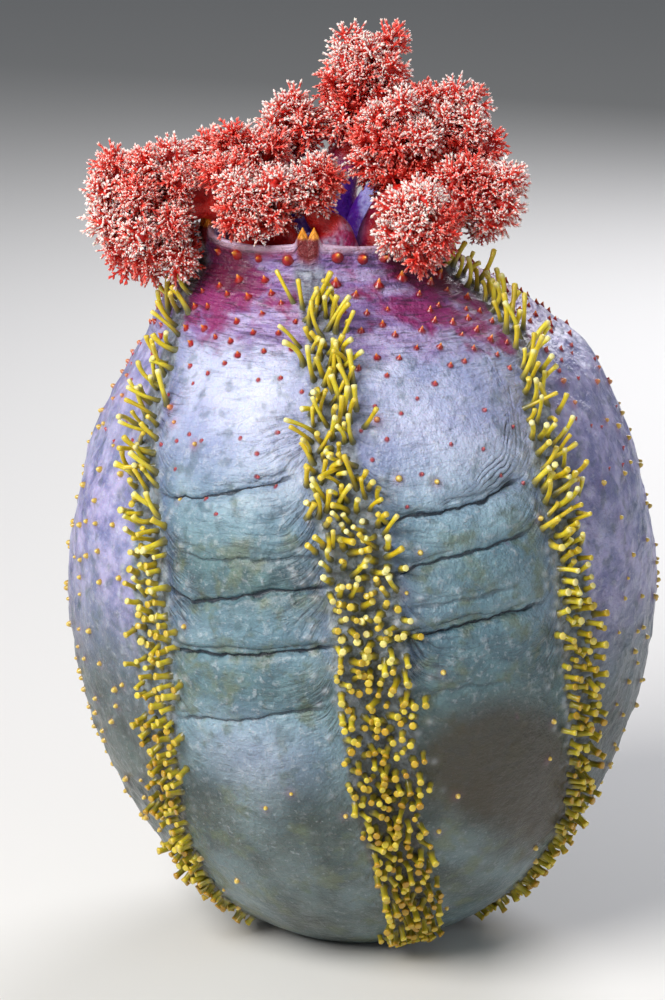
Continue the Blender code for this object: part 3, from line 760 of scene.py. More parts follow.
def stamp(target, points, centre, row, column, size, height, combine="add", power=2.0):
    # adds a round bump to the values near one point of the grid
    reach = int(math.ceil(size * 2.2 / skinLook["cell"]))
    rows = np.arange(max(0, row - reach), min(target.shape[0], row + reach + 1))
    columns = np.arange(column - reach, column + reach + 1) % target.shape[1]
    window = np.ix_(rows, columns)
    apart = np.linalg.norm(points[window] - centre, axis=-1) / size
    bump = height * np.exp(-(apart**power))
    if combine == "add":
        target[window] += bump
    else:
        target[window] = np.maximum(target[window], bump)


def buildSkinGrid(places):
    angles = skinColumns()
    base, kinds, heights, lift, tab = wallSections(angles)
    normals = gridNormals(base)
    isWall = kinds == "wall"
    wallStart = int(np.argmax(isWall))
    wall = base[isWall]
    z = np.repeat(heights[:, None], len(angles), axis=1)
    angle = np.repeat(angles[None], len(heights), axis=0)
    arc = arcOf(z)
    rim = bodyShape["rimHeight"]

    # where each kind of surface is
    share = panelShare(angle, z)
    away = rowReach(angle, z)
    inRow = 1 - ease(-0.0006, 0.0010, away)
    frontPanel = ((angle > rowAngle("left", z)) & (angle < rowAngle("right", z))).astype(float)
    leftPanel = frontPanel * (angle < rowAngle("centre", z))
    rightPanel = frontPanel - leftPanel
    flank = (1 - frontPanel) * (1 - inRow)
    neck = ease(0.119, 0.130, z)

    # wrinkles run across the panels, climb a little to one side and turn up beside the rows
    climb = (
        0.0048 * share * frontPanel
        + 0.0065 * np.exp(-np.maximum(away, 0) / 0.0034) * (1 - ease(0.104, 0.120, z))
    )
    sway = 0.0018 * noiseAt(wall, 0.014, 5) + 0.0009 * noiseAt(wall, 0.005, 6)
    wrinkleHeight = arc - climb + sway
    flow = wall.copy()
    flow[..., 2] = wrinkleHeight
    grooves = 0.8 * (1 - np.abs(noiseAt(flow, (0.0060, 0.0060, 0.0021), 21))) ** 4
    grooves = grooves + 0.7 * (1 - np.abs(noiseAt(flow + 0.0031, (0.0038, 0.0038, 0.0012), 22))) ** 4
    patchy = 0.35 + 0.65 * ease(-0.35, 0.45, noiseAt(wall, (0.012, 0.012, 0.008), 23))
    beside = 0.5 + 0.9 * hill(away, 0.001, 0.006)
    wrinkled = (
        frontPanel * (0.14 + 0.86 * ease(0.050, 0.066, z) * (1 - ease(0.110, 0.124, z))) * patchy * beside
    )
    wrinkled = np.maximum(wrinkled, 0.10 + 0.16 * frontPanel) * (1 - inRow)
    relief = -skinLook["wrinkleDepth"] * grooves * wrinkled

    neckFlow = wall.copy()
    neckFlow[..., 2] = arc + 0.0012 * noiseAt(wall, 0.008, 8)
    neckFine = (1 - np.abs(noiseAt(neckFlow, (0.0070, 0.0070, 0.0016), 31))) ** 3
    neckFine = neckFine + 0.6 * (1 - np.abs(noiseAt(neckFlow, (0.0034, 0.0034, 0.0009), 32))) ** 3
    relief = (
        relief
        - skinLook["neckWrinkleDepth"] * neckFine * neck * (1 - 0.7 * ease(rim - 0.003, rim - 0.001, z))
    )

    # broad unevenness, and the pebbly skin of flanks and back
    low = 1 - ease(0.036, 0.060, z)
    relief = relief + skinLook["lumpHeight"] * noiseAt(wall, 0.015, 1) * ease(0.004, 0.02, z) * (1 - neck)
    pebbles = noiseAt(wall, 0.0034, 2) + 0.8 * noiseAt(wall, 0.0019, 3)
    relief = (
        relief
        + skinLook["pebbleHeight"] * pebbles * (0.35 + 0.9 * flank + 0.5 * low) * ease(0.002, 0.01, z)
    )
    dimples = np.maximum(0, noiseAt(wall, 0.0052, 4) - 0.25)
    relief = relief - 0.0007 * dimples * flank * ease(0.002, 0.01, z) * (1 - neck)

    # the deep folds
    height, lines, wobble = foldLines(angle, arc, wall)
    relief = relief + height
    height, fanTurn, fanLevel = fanRelief(angle, arc, wobble)
    relief = relief + height

    # skin drawn up round feet, warts, papillae and lumps
    values = {name: np.zeros(z.shape) for name in ("seat", "halo", "pale", "spot")}

    def stampPlaces(where, size, height, valueName, valueSize, level=1.0):
        sizes = np.broadcast_to(size, where[0].shape)
        levels = np.broadcast_to(height, where[0].shape)
        for atAngle, atHeight, oneSize, oneHeight in zip(*where, sizes, levels):
            row = int(np.clip(np.searchsorted(heights, atHeight), 0, len(heights) - 1))
            column = int(np.searchsorted(angles, atAngle)) % len(angles)
            centre = placeOf(atAngle, atHeight, radiusOf(atAngle, atHeight))
            stamp(relief, wall, centre, row, column, oneSize, oneHeight)
            stamp(values[valueName], wall, centre, row, column, oneSize * valueSize, level, "max")

    for name in rowNames:
        seat = skinLook["seatHeight"] * (0.6 if name.startswith("back") else 1.0)
        stampPlaces(places["feet"][name], skinLook["seatSize"], seat, "seat", 1.1)
    wartSize = wartSizeAt(places["warts"][1]) * places["wartSize"]
    stampPlaces(places["warts"], 1.25 * wartSize + 0.0002, wartSize * 0.35, "halo", 1.0)
    stampPlaces(places["papillae"], 0.0010, 0.00024, "spot", 1.05, 0.8)
    stampPlaces(places["nodules"], 0.0007, 0.00028, "pale", 1.0)

    # the tabs under the collar's points, and the vent
    tabs = tab[None] * ease(rim - 0.0065, rim - 0.002, z)
    relief = relief + skinLook["tabProud"] * tabs
    vent = skinLook["vent"]
    ventCentre = placeOf(vent["angle"], vent["height"], radiusOf(vent["angle"], vent["height"]))
    fromVent = np.linalg.norm(wall - ventCentre, axis=-1)
    ventTurn = np.arctan2(wall[..., 2] - ventCentre[2], wall[..., 0] - ventCentre[0])
    ventRing = np.exp(-((fromVent / vent["size"]) ** 2.6))
    relief = (
        relief + vent["rise"] * ventRing
        - (vent["rise"] + 0.0012) * np.exp(-((fromVent / vent["hole"]) ** 2))
    )
    relief = relief + 0.00025 * np.cos(ventTurn * 13) * hill(fromVent, 0.0024, 0.0014)
    relief = relief * ease(0.0, 0.0022, z)
    relief = relief * (1 - 0.85 * ease(rim - 0.0016, rim - 0.0006, z))

    grid = base.copy()
    grid[isWall] += normals[isWall] * relief[..., None]

    full = {}

    def spread(name, wallValues, **others):
        whole = np.zeros(grid.shape[:2])
        whole[isWall] = wallValues
        for kind, level in others.items():
            whole[kinds == kind] = level
        full[name] = whole

    # lilac shoulders, a magenta neck, dark maroon under the lip that is partly painted shadow of the
    # crowns, painted teal shade under the folds and down the right panel, and a brown patch low down that
    # is partly painted shadow
    shoulder = hill(angle, 50, 24) * ease(0.112, 0.130, z)
    leftShoulder = hill(angle, -50, 13) * ease(0.102, 0.116, z)
    sides = (
        0.52
        + 0.48 * np.maximum(
            hill(angle, -42, 24), np.maximum(hill(angle, 50, 26), ease(70, 100, np.abs(angle)))
        )
    )
    stained = np.maximum(ease(0.122, 0.134, z) * sides, 0.70 * shoulder + 0.45 * leftShoulder)
    spread("neck", ease(0.120, 0.132, z), lip=1, inner=0.6)
    spread("magenta", np.clip(stained, 0, 1), lip=0.6, inner=0.6)
    # dark maroon under the lip: partly the skin's own colour, partly painted shadow of the crowns above
    under = np.maximum(hill(angle, -44, 24), hill(angle, 50, 27)) * ease(0.131, 0.1375, z)
    spread("maroonAndShadow", under + 0.5 * hill(angle, 180, 100) * ease(0.134, 0.139, z))
    # a painted highlight low on the left panel, added to the pale upper colouring
    paintedHighlight = 0.5 * leftPanel * hill(z, 0.050, 0.009) * hill(angle, -22, 13)
    spread("high", ease(0.094, 0.116, z) + paintedHighlight, lip=1, inner=1)
    spread("flank", flank)
    # painted shade: darker bands just under the folds of the left panel, and the right panel darker
    # downwards, away from the light
    dusk = leftPanel * (
        0.85 * hill(z, 0.087, 0.0065) + 0.65 * hill(z, 0.065, 0.0055) + 0.25 * hill(z, 0.075, 0.020)
    )
    dusk = (
        dusk
        + rightPanel * (0.45 * ease(0.099, 0.088, z) + 0.45 * ease(0.080, 0.068, z)) * ease(0.026, 0.050, z)
    )
    spread("dusk", np.clip(dusk, 0, 1))
    # the brown patch low on the right panel: partly the skin's own brown, partly painted shadow
    brownAndShadow = hill(angle, 26, 19) * hill(z, 0.050, 0.015) + 0.8 * hill(angle, 48, 16) * hill(z, 0.034, 0.014)
    spread("brownAndShadow", np.clip(brownAndShadow, 0, 1) * rightPanel)
    # darker towards the bottom: partly the skin's own olive and slate, partly painted shade of the lower
    # body
    spread("murk", np.where(flank > 0.5, 1 - ease(0.040, 0.088, z), low), floor=1)
    # painted shade on the panels beside the rows, which lie in furrows
    spread("edge", np.exp(-np.maximum(away, 0) / 0.0032) * frontPanel * ease(0.060, 0.080, z) * (1 - inRow))
    # lines of the deep and fine folds, along which painted shade is laid
    for name, kind in (("fold", "deep"), ("hair", "fine")):
        spread(name + "Off", lines[kind][0])
        spread(name + "Level", lines[kind][1])
    spread("fanTurn", fanTurn)
    spread("fanLevel", fanLevel)
    spread("rowSkin", inRow * (1 - ease(rim - 0.006, rim - 0.003, z)))
    for name, value in values.items():
        spread(name, value)
    spread("wrinkle", wrinkled * (1 - neck) + neck, floor=0.2)
    spread("wrinkleHeight", wrinkleHeight * (1 - neck) + arc * neck)
    spread("vent", np.exp(-((fromVent / (vent["size"] * 1.15)) ** 4)))
    spread("inside", 0, inner=1, disc=1, mouth=1)
    full["inside"][kinds == "inner"] = np.linspace(0.1, 1, (kinds == "inner").sum())[:, None]
    spread("lip", ease(rim - 0.0022, rim - 0.0006, z), lip=1.0)
    full["lip"][kinds == "inner"] = np.linspace(0.8, 0, (kinds == "inner").sum())[:, None]
    tabHeight = ease(0.0, skinLook["pointHeight"] * 0.9, lift)
    spread("tab", tabs)
    for kind in ("lip", "inner"):
        full["tab"][kinds == kind] = tab * (1 - (kind == "inner") * 0.3)
    spread("tabTip", tabHeight[None] * ease(rim - 0.0006, rim + 0.0010, z + lift * 0.5))
    full["tabTip"][kinds == "lip"] = tabHeight
    full["tabTip"][kinds == "inner"] = tabHeight * np.linspace(0.8, 0, (kinds == "inner").sum())[:, None]
    return {
        "grid": grid,
        "normals": normals,
        "angles": angles,
        "heights": heights,
        "wallStart": wallStart,
        "values": full,
    }


def onSkin(skin, angle, z):
    # place on the finished skin, and the smooth body's normal there
    column = np.searchsorted(skin["angles"], angle) % len(skin["angles"])
    row = np.clip(np.searchsorted(skin["heights"], z), 0, len(skin["heights"]) - 1) + skin["wallStart"]
    return skin["grid"][row, column], skin["normals"][row, column]


# Tentacles: root angle on the disc, stalk thickness, droop, and each crown's middle and half sizes
# along and across its stalk, as in the solids
bigStalk = (0.0038, 0.0030)
smallStalk = (0.0034, 0.0022)
# "violet" is how far up the foot's violet reaches, "flare" how much wider the foot is
tentacles = {
    "1": {"root": -60, "stalk": bigStalk, "droop": 0.014, "rise": 0.57, "violet": 0.1, "flare": 0.45,
          "crowns": [((-0.0419, -0.0120, 0.1480), 0.0110, 0.0140)]},
    "2": {"root": -122, "stalk": bigStalk, "droop": 0.005, "violet": 0.8, "flare": 0.8,
          "crowns": [((-0.0301, 0.0080, 0.1538), 0.0072, 0.0060)]},
    "3": {"root": -91, "stalk": bigStalk, "droop": 0.002, "violet": 0.6, "flare": 0.7,
          "crowns": [((-0.0226, 0.0000, 0.1557), 0.0074, 0.0056)]},
    "4": {"root": -155, "stalk": bigStalk, "droop": 0.002, "violet": 0.6, "flare": 0.8,
          "crowns": [((-0.0149, 0.0140, 0.1604), 0.0082, 0.0062)]},
    "5": {"root": 172, "stalk": bigStalk, "droop": 0.000, "violet": 0.7, "flare": 0.9,
          "crowns": [((0.0009, 0.0140, 0.1688), 0.0118, 0.0080)]},
    "6": {"root": 132, "stalk": bigStalk, "droop": 0.004, "violet": 1.0, "flare": 0.9,
          "crowns": [((0.0166, 0.0090, 0.1590), 0.0128, 0.0092)]},
    "7": {"root": 98, "stalk": bigStalk, "droop": 0.000, "violet": 1.0, "flare": 0.9,
          "crowns": [((0.0072, 0.0020, 0.1585), 0.0090, 0.0078)]},
    "8": {"root": 57, "stalk": bigStalk, "droop": 0.011, "violet": 0.1, "flare": 0.5,
          "crowns": [((0.0237, -0.0040, 0.1501), 0.0074, 0.0082),
                     ((0.0107, -0.0215, 0.1485), 0.0070, 0.0070)]},
    "9": {"root": 14, "stalk": smallStalk, "droop": 0.000, "violet": 0.85, "flare": 0.55,
          "crowns": [((-0.0112, -0.0140, 0.1533), 0.0056, 0.0072)]},
    "10": {"root": -26, "stalk": smallStalk, "droop": 0.002, "violet": 0.1, "flare": 0.40,
           "crowns": [((-0.0207, -0.0170, 0.1505), 0.0066, 0.0086)]},
}
stalkLook = {
    "rootRing": 0.0142,
    "rise": 0.72,
    "pull": 0.35,
    "entry": 0.80,
    "branchAt": 0.5,
    "branchShare": 0.75,
    "rings": 46,
    "sides": 30,
    "flareReach": 4.5,
    "sink": 0.0014,
    "intoCrown": 0.55,  # how far past the entry the stalk runs on, as a share of the crown
    "crease": 0.00014,
}


def bezierPath(start, first, second, end, steps):
    t = np.linspace(0, 1, steps)[:, None]
    return (1 - t) ** 3 * start + 3 * (1 - t) ** 2 * t * first + 3 * (1 - t) * t * t * second + t**3 * end


def planStalks():
    # path and radii of every stalk, with the middle, axis and sizes of the crown on its end
    plans = []
    x, y = middleOf(bodyShape["rimHeight"])
    for name, tentacle in tentacles.items():
        turn = math.radians(tentacle["root"])
        ring = stalkLook["rootRing"]
        start = np.array([x + ring * math.sin(turn), y - ring * math.cos(turn), skinLook["discHeight"]])
        leave = np.array([0.0, 0.0, 1.0])
        thick, thin = tentacle["stalk"]
        rise = tentacle.get("rise", stalkLook["rise"])
        for index, (centre, along, across) in enumerate(tentacle["crowns"]):
            centre = np.array(centre)
            direction = unit(centre - start - np.array([0, 0, tentacle["droop"]]))
            end = centre - direction * along * stalkLook["entry"]
            reach = np.linalg.norm(end - start)
            first = start + leave * reach * rise
            second = end - direction * reach * stalkLook["pull"]
            path = bezierPath(start, first, second, end, stalkLook["rings"] - 12)
            beyond = end + direction * along * stalkLook["intoCrown"] * np.linspace(0, 1, 13)[1:, None]
            side = index > 0
            node = f"tentacle_{name}_side" if side else f"tentacle_{name}"
            plans.append({
                "node": node,
                "path": np.concatenate([path, beyond]),
                "entered": len(path) - 1,
                "radii": (thick, thin),
                "side": side,
                "flare": 0.0 if side else tentacle["flare"],
                "violet": 0.0 if side else tentacle["violet"],
                "centre": centre,
                "axis": direction,
                "along": along,
                "across": across,
            })
            if index + 1 < len(tentacle["crowns"]):
                at = int(stalkLook["branchAt"] * (len(path) - 1))
                here = unit(path[at + 1] - path[at])
                out = np.array(tentacle["crowns"][index + 1][0]) - path[at]
                out = unit(out - here * np.dot(out, here))
                start = path[at]
                leave = out
                thick, thin = thick * stalkLook["branchShare"], thin * stalkLook["branchShare"]
    return plans


def stalkTube(plan):
    rings = len(plan["path"])
    entered = plan["entered"]
    share = np.linspace(0, 1, rings) * (rings - 1) / entered
    thick, thin = plan["radii"]
    radius = thick + (thin - thick) * np.minimum(share, 1)
    radius = radius * (
        1 + plan["flare"] * np.exp(-share * stalkLook["flareReach"]) + 0.20 * hill(share, 0.45, 0.25)
    )
    radius = radius * (1 - 0.62 * ease(1.0, share[-1], share))
    path = plan["path"].copy()
    if not plan["side"]:
        path[0, 2] -= stalkLook["sink"]
    tubes = sweepTubes(path[None], radius[None], stalkLook["sides"])
    points = tubes["points"]
    centre = path[tubes["ring"]]
    out = unit(points - centre)
    ripple = noiseAt(points, 0.0030, 51) + 0.5 * noiseAt(points, (0.0014, 0.0014, 0.0030), 52)
    points = points + out * (stalkLook["crease"] * ripple)[:, None]
    along = share[tubes["ring"]]
    middle = np.array([*middleOf(bodyShape["rimHeight"]), 0])
    inward = unit(middle - centre * (1, 1, 0))
    facing = np.sum(out * inward, axis=1)
    return tubes, points, along, facing


def skinUv(rows, columns):
    # corners of the grid's cells on the left four fifths of the map
    row, column = np.meshgrid(np.arange(rows - 1), np.arange(columns), indexing="ij")
    corners = np.stack([
        np.stack([column, row], axis=-1),
        np.stack([column + 1, row], axis=-1),
        np.stack([column + 1, row + 1], axis=-1),
        np.stack([column, row + 1], axis=-1),
    ], axis=2)
    return corners.reshape(-1, 2) * (1 / columns, 0.84 / (rows - 1))


def buildSkin(skin, plans, material):
    bundle = newBundle()
    grid = skin["grid"]
    rows, columns = grid.shape[:2]
    row, column = np.meshgrid(np.arange(rows - 1), np.arange(columns), indexing="ij")
    after = (column + 1) % columns
    quads = np.stack([
        row * columns + column,
        row * columns + after,
        (row + 1) * columns + after,
        (row + 1) * columns + column,
    ], axis=-1).reshape(-1, 4)
    floorMiddle = grid[0].mean(axis=0)
    mouthMiddle = grid[-1].mean(axis=0) - (0, 0, 0.0001)
    points = np.concatenate([grid.reshape(-1, 3), floorMiddle[None], mouthMiddle[None]])
    here = np.arange(columns)
    beside = (here + 1) % columns
    last = (rows - 1) * columns
    floorFan = np.stack([beside, here, np.full(columns, rows * columns)], axis=-1)
    mouthFan = np.stack([last + here, last + beside, np.full(columns, rows * columns + 1)], axis=-1)
    tris = np.concatenate([floorFan, mouthFan])
    fanUv = np.zeros((len(tris) * 3, 2))
    fanUv[: columns * 3, 0] = np.stack([here + 1, here, here + 0.5], axis=-1).ravel() / columns
    fanUv[columns * 3 :, 0] = fanUv[: columns * 3, 0]
    fanUv[columns * 3 :, 1] = 0.84
    values = {
        name: np.append(whole.ravel(), [whole[0, 0], whole[-1, 0]])
        for name, whole in skin["values"].items()
    }
    values.update(dict.fromkeys(("stalk", "stalkAlong", "stalkInside", "stalkViolet"), 0.0))
    addToBundle(bundle, points, quads, tris, None, values, (skinUv(rows, columns), fanUv))
    for index, plan in enumerate(plans):
        tubes, tubePoints, along, facing = stalkTube(plan)
        u = (index + 0.05 + 0.9 * np.abs(tubes["turn"] / stalkLook["sides"] * 2 - 1)) / len(plans)
        v = 0.86 + 0.13 * np.minimum(1, along / along.max())
        values = {"stalk": 1.0, "stalkAlong": along, "stalkInside": facing, "stalkViolet": plan["violet"],
                  "wrinkleHeight": along * 0.03, "foldOff": skinLook["foldEdge"],
                  "hairOff": skinLook["foldEdge"]}
        addToBundle(bundle, tubePoints, tubes["quads"], tubes["tris"], np.stack([u, v], axis=-1), values)
    stalkNodes = [plan["node"] + "_stalk" for plan in plans]
    replaced = ["trunk", "collar", "mouth_disc", "mouth", "vent", *stalkNodes]
    return finishBundle(bundle, "skin", material, replaced)


skinColours = {
    "lilac": (0.32, 0.36, 0.60),
    "lilacPale": (0.56, 0.60, 0.82),
    "blue": (0.125, 0.235, 0.31),
    "bluePale": (0.27, 0.42, 0.50),
    "teal": (0.034, 0.078, 0.088),
    "tealPale": (0.10, 0.19, 0.20),
    "violet": (0.20, 0.19, 0.42),
    "violetPale": (0.50, 0.45, 0.74),
    "slate": (0.032, 0.042, 0.080),
    "slatePale": (0.10, 0.13, 0.20),
    "moss": (0.15, 0.18, 0.085),
    "olive": (0.034, 0.046, 0.032),
    "oliveGrey": (0.095, 0.120, 0.105),
    # brown of the low patch, partly painted shadow there, and the skin's own brown round the seats of the
    # feet and low in the rows
    "brownAndShadow": (0.034, 0.022, 0.006),
    # dark blue of the painted shade beside the rows
    "edge": (0.09, 0.10, 0.30),
    # near-black navy of the painted shade in folds and wrinkles
    "fold": (0.012, 0.018, 0.034),
    "magenta": (0.25, 0.009, 0.118),
    "neck": (0.23, 0.11, 0.38),
    "neckPale": (0.46, 0.36, 0.64),
    # dark maroon under the lip, partly painted shadow of the crowns
    "maroonAndShadow": (0.10, 0.006, 0.030),
    "rowSkin": (0.26, 0.30, 0.36),
    "rowDark": (0.095, 0.11, 0.125),
    "wart": (0.22, 0.008, 0.020),
    "spot": (0.42, 0.16, 0.26),
    "white": (0.68, 0.71, 0.76),
    "inside": (0.060, 0.010, 0.36),
    "insidePale": (0.34, 0.34, 0.78),
    "lip": (0.60, 0.44, 0.56),
    "tab": (0.17, 0.010, 0.014),
    "tabTip": (0.80, 0.30, 0.012),
    "stalk": (0.66, 0.014, 0.006),
    "stalkDark": (0.36, 0.005, 0.008),
    "stalkBase": (0.46, 0.03, 0.16),
    "stalkPale": (0.60, 0.48, 0.74),
}


def skinFinish():
    c = skinColours
    f = Finish("wetSkin")

    def times(first, second):
        return f.math("MULTIPLY", first, second)

    broad = f.noise(60, 3, 0.55)
    middling = f.noise(190, 3, 0.6)
    fine = f.noise(560, 3, 0.6)
    dots = f.noise(1150, 2, 0.5)
    flow = f.tree.nodes.new("ShaderNodeCombineXYZ")
    split = f.tree.nodes.new("ShaderNodeSeparateXYZ")
    f.feed(split.inputs[0], f.place())
    f.feed(flow.inputs[0], split.outputs[0])
    f.feed(flow.inputs[1], split.outputs[1])
    f.feed(flow.inputs[2], f.value("wrinkleHeight"))
    lines = f.noise(1.0, 3, 0.62, f.stretch(flow.outputs[0], (190, 190, 1250)), 0.4)
    wideLines = f.noise(1.0, 2, 0.6, f.stretch(flow.outputs[0], (80, 80, 430)), 0.3)

    # ground colours, from the pale lilac shoulders to the olive underside, whose darkness is partly its own
    # colour and partly painted shade of the lower body
    patch = f.band(broad, 0.36, 0.64)
    colour = f.mix(
        f.value("high"), f.mix(patch, c["blue"], c["bluePale"]), f.mix(patch, c["lilac"], c["lilacPale"])
    )
    cloud = f.band(middling, 0.36, 0.66)
    upper = f.mix(cloud, c["violet"], c["violetPale"])
    lower = f.mix(cloud, c["slate"], c["slatePale"])
    # the flanks turn slate downwards, partly their own colour, partly painted shade
    flankTone = f.mix(f.band(f.vary(f.value("murk"), broad, 0.8), 0.0, 0.8), upper, lower)
    colour = f.mix(times(f.value("flank"), f.band(broad, 0.2, 0.7, 0.95, 0.75)), colour, flankTone)
    # painted shade in teal under the folds and down the right panel
    paintedShadeTone = f.mix(cloud, c["teal"], c["tealPale"])
    colour = f.mix(times(f.value("dusk"), f.band(broad, 0.25, 0.65, 0.75, 1.0)), colour, paintedShadeTone)
    # olive low down, partly the skin's own colour, partly painted shade
    lowTone = f.mix(f.band(f.noise(110, 2, 0.5), 0.35, 0.65), c["olive"], c["oliveGrey"])
    colour = f.mix(times(f.value("murk"), f.band(broad, 0.25, 0.75, 0.95, 0.65)), colour, lowTone)
    # painted shade, dark blue, on the panels beside the rows
    colour = f.mix(times(f.value("edge"), 0.55), colour, c["edge"])

    # pale and dark mottling
    colour = f.mix(
        times(f.band(fine, 0.54, 0.70), f.band(f.value("murk"), 0.0, 1.0, 0.26, 0.10)), colour, c["white"]
    )
    colour = f.mix(f.band(dots, 0.62, 0.72, 0.0, 0.20), colour, c["white"])
    colour = f.mix(times(f.band(f.noise(300, 2, 0.5), 0.54, 0.70), 0.42), colour, c["teal"])
    mossShare = times(
        f.band(f.noise(150, 3, 0.6), 0.50, 0.68, 0.0, 0.50), f.band(f.value("high"), 0.0, 0.7, 1.0, 0.0)
    )
    colour = f.mix(times(mossShare, f.band(f.value("flank"), 0.0, 1.0, 1.0, 0.2)), colour, c["moss"])

    # the brown patch, partly the skin's own brown and partly painted shadow
    brownShare = f.band(f.vary(f.value("brownAndShadow"), middling, 0.45), 0.22, 0.78, 0.0, 0.90)
    colour = f.mix(brownShare, colour, c["brownAndShadow"])

    # neck and shoulders: pale violet, blotched with magenta and with dark maroon that is partly painted
    # shadow of the crowns
    streak = f.band(wideLines, 0.38, 0.62)
    neckTone = f.mix(streak, c["neck"], c["neckPale"])
    neckShare = f.band(f.vary(f.value("neck"), middling, 1.2), 0.20, 0.90, 0.0, 0.85)
    colour = f.mix(neckShare, colour, neckTone)
    stain = f.vary(f.value("magenta"), f.noise(130, 3, 0.6, None, 0.5), 2.2)
    colour = f.mix(f.band(stain, 0.46, 0.96, 0.0, 0.92), colour, c["magenta"])
    # dark maroon under the lip, partly painted shadow of the crowns
    dark = f.vary(f.value("maroonAndShadow"), wideLines, 0.9)
    colour = f.mix(f.band(dark, 0.35, 0.95, 0.0, 0.88), colour, c["maroonAndShadow"])

    # painted shade in the grooves of the wrinkles and folds, drawn as dark lines
    lineShare = times(f.band(lines, 0.46, 0.36), f.value("wrinkle"))
    colour = f.mix(times(lineShare, 0.55), colour, c["fold"])
    colour = f.mix(times(times(f.band(wideLines, 0.43, 0.34), f.value("wrinkle")), 0.32), colour, c["fold"])
    jag = times(f.math("SUBTRACT", f.noise(1500, 3, 0.65), 0.5), 0.0005)

    uneven = f.band(f.noise(230, 2, 0.6), 0.35, 0.65, 2.0, 0.75)

    def strand(name, width):
        off = f.math("ABSOLUTE", f.math("ADD", f.value(name + "Off"), jag))
        off = times(off, uneven)
        return times(f.band(off, width, width * 0.35), f.value(name + "Level"))

    # painted shade along the deep and fine folds and the fan beside the right row
    foldShare = f.math("MAXIMUM", strand("fold", 0.00048), times(strand("hair", 0.00026), 0.8))
    fanWave = f.math("ABSOLUTE", f.math("SINE", times(f.value("fanTurn"), math.pi)))
    foldShare = f.math(
        "MAXIMUM", foldShare, times(f.band(fanWave, 0.34, 0.05, 0.0, 0.6), f.value("fanLevel"))
    )

    # rows, seats of the feet, pale lumps, papillae and warts
    rowTone = f.mix(f.band(fine, 0.40, 0.60), c["rowDark"], c["rowSkin"])
    # low in the rows the skin turns brown, partly its own colour, partly painted shade
    rowTone = f.mix(times(f.value("murk"), 0.8), rowTone, c["brownAndShadow"])
    colour = f.mix(times(f.value("rowSkin"), 0.85), colour, rowTone)
    colour = f.mix(times(f.value("seat"), 0.18), colour, c["brownAndShadow"])
    colour = f.mix(
        times(f.value("pale"), f.band(f.value("murk"), 0.0, 1.0, 0.34, 0.08)), colour, c["white"]
    )
    colour = f.mix(times(f.value("spot"), f.band(f.value("high"), 0.0, 1.0, 0.22, 0.70)), colour, c["spot"])
    colour = f.mix(f.band(f.value("halo"), 0.25, 0.80, 0.0, 0.90), colour, c["wart"])
    # painted shade along the fold lines
    colour = f.mix(times(foldShare, 0.92), colour, c["fold"])
    colour = f.mix(times(f.value("vent"), 0.75), colour, c["magenta"])

    # collar's edge, its points, and the violet skin inside
    colour = f.mix(times(f.value("lip"), 0.75), colour, c["lip"])
    colour = f.mix(f.band(f.value("tab"), 0.25, 0.75), colour, c["tab"])
    colour = f.mix(f.band(f.value("tabTip"), 0.20, 0.75), colour, c["tabTip"])
    insideTone = f.mix(f.band(middling, 0.46, 0.62), c["inside"], c["insidePale"])
    colour = f.mix(f.value("inside"), colour, insideTone)

    # stalks: violet and white at the foot, red above
    redTone = f.mix(f.band(middling, 0.36, 0.58), c["stalkDark"], c["stalk"])
    baseTone = f.mix(f.band(middling, 0.45, 0.58), c["stalkBase"], c["stalkPale"])
    height = f.math(
        "SUBTRACT", f.value("stalkAlong"), times(f.math("SUBTRACT", f.value("stalkViolet"), 0.55), 0.75)
    )
    reddened = f.band(f.vary(height, broad, 0.4), 0.10, 0.40)
    stalkTone = f.mix(reddened, baseTone, redTone)
    inner = times(f.band(f.value("stalkInside"), -0.1, 0.7), f.band(height, 0.75, 0.30))
    stalkTone = f.mix(times(inner, 0.9), stalkTone, insideTone)
    colour = f.mix(f.value("stalk"), colour, stalkTone)

    roughness = f.band(middling, 0.3, 0.7, 0.32, 0.48)
    normal = f.bump(f.noise(1300, 4, 0.65), 0.7, 0.00040)
    normal = f.bump(lines, f.value("wrinkle"), 0.0008, normal)
    normal = f.bump(fine, 0.7, 0.0010, normal)
    normal = f.bump(f.math("SUBTRACT", 1.0, foldShare), 0.8, 0.0004, normal)
    return f.surface(
        colour, roughness, normal,
        Subsurface_Weight=0.10, Subsurface_Scale=0.0025, Coat_Weight=0.20, Coat_Roughness=0.20,
    )


# Tube feet
feetLook = {
    "sides": 7,
    "rings": 9,
    "radius": (0.00064, 0.00050),  # of the short feet low down and of the long ones near the neck
    "radiusSpread": 0.18,
    "length": (0.0024, 0.0060),
    "longHeights": (0.074, 0.112),
    "steps": (0, 0.10, 0.24, 0.42, 0.60, 0.77, 0.90, 0.975, 1.0),
    "shares": (0, 0.05, 0.18, 0.38, 0.58, 0.76, 0.90, 0.98, 1.0),  # of its length, for the colour
    "outline": (1.60, 1.22, 0.96, 0.86, 0.86, 0.93, 1.08, 1.04, 0.64),  # thickness at each step
    "lengthSpread": 0.34,
    "backShare": 0.6,
    "sink": 0.0006,
    "patch": 0.003,
    "seed": 100,
    "lean": (0.24, 0.10),  # of short feet, and how much more of long ones
    "upward": (0.10, 0.30),
    "curl": (0.22, 0.60),
    "curlUpward": 0.55,
    "leastRise": 0.25,  # how far the ends at least point away from the skin
}


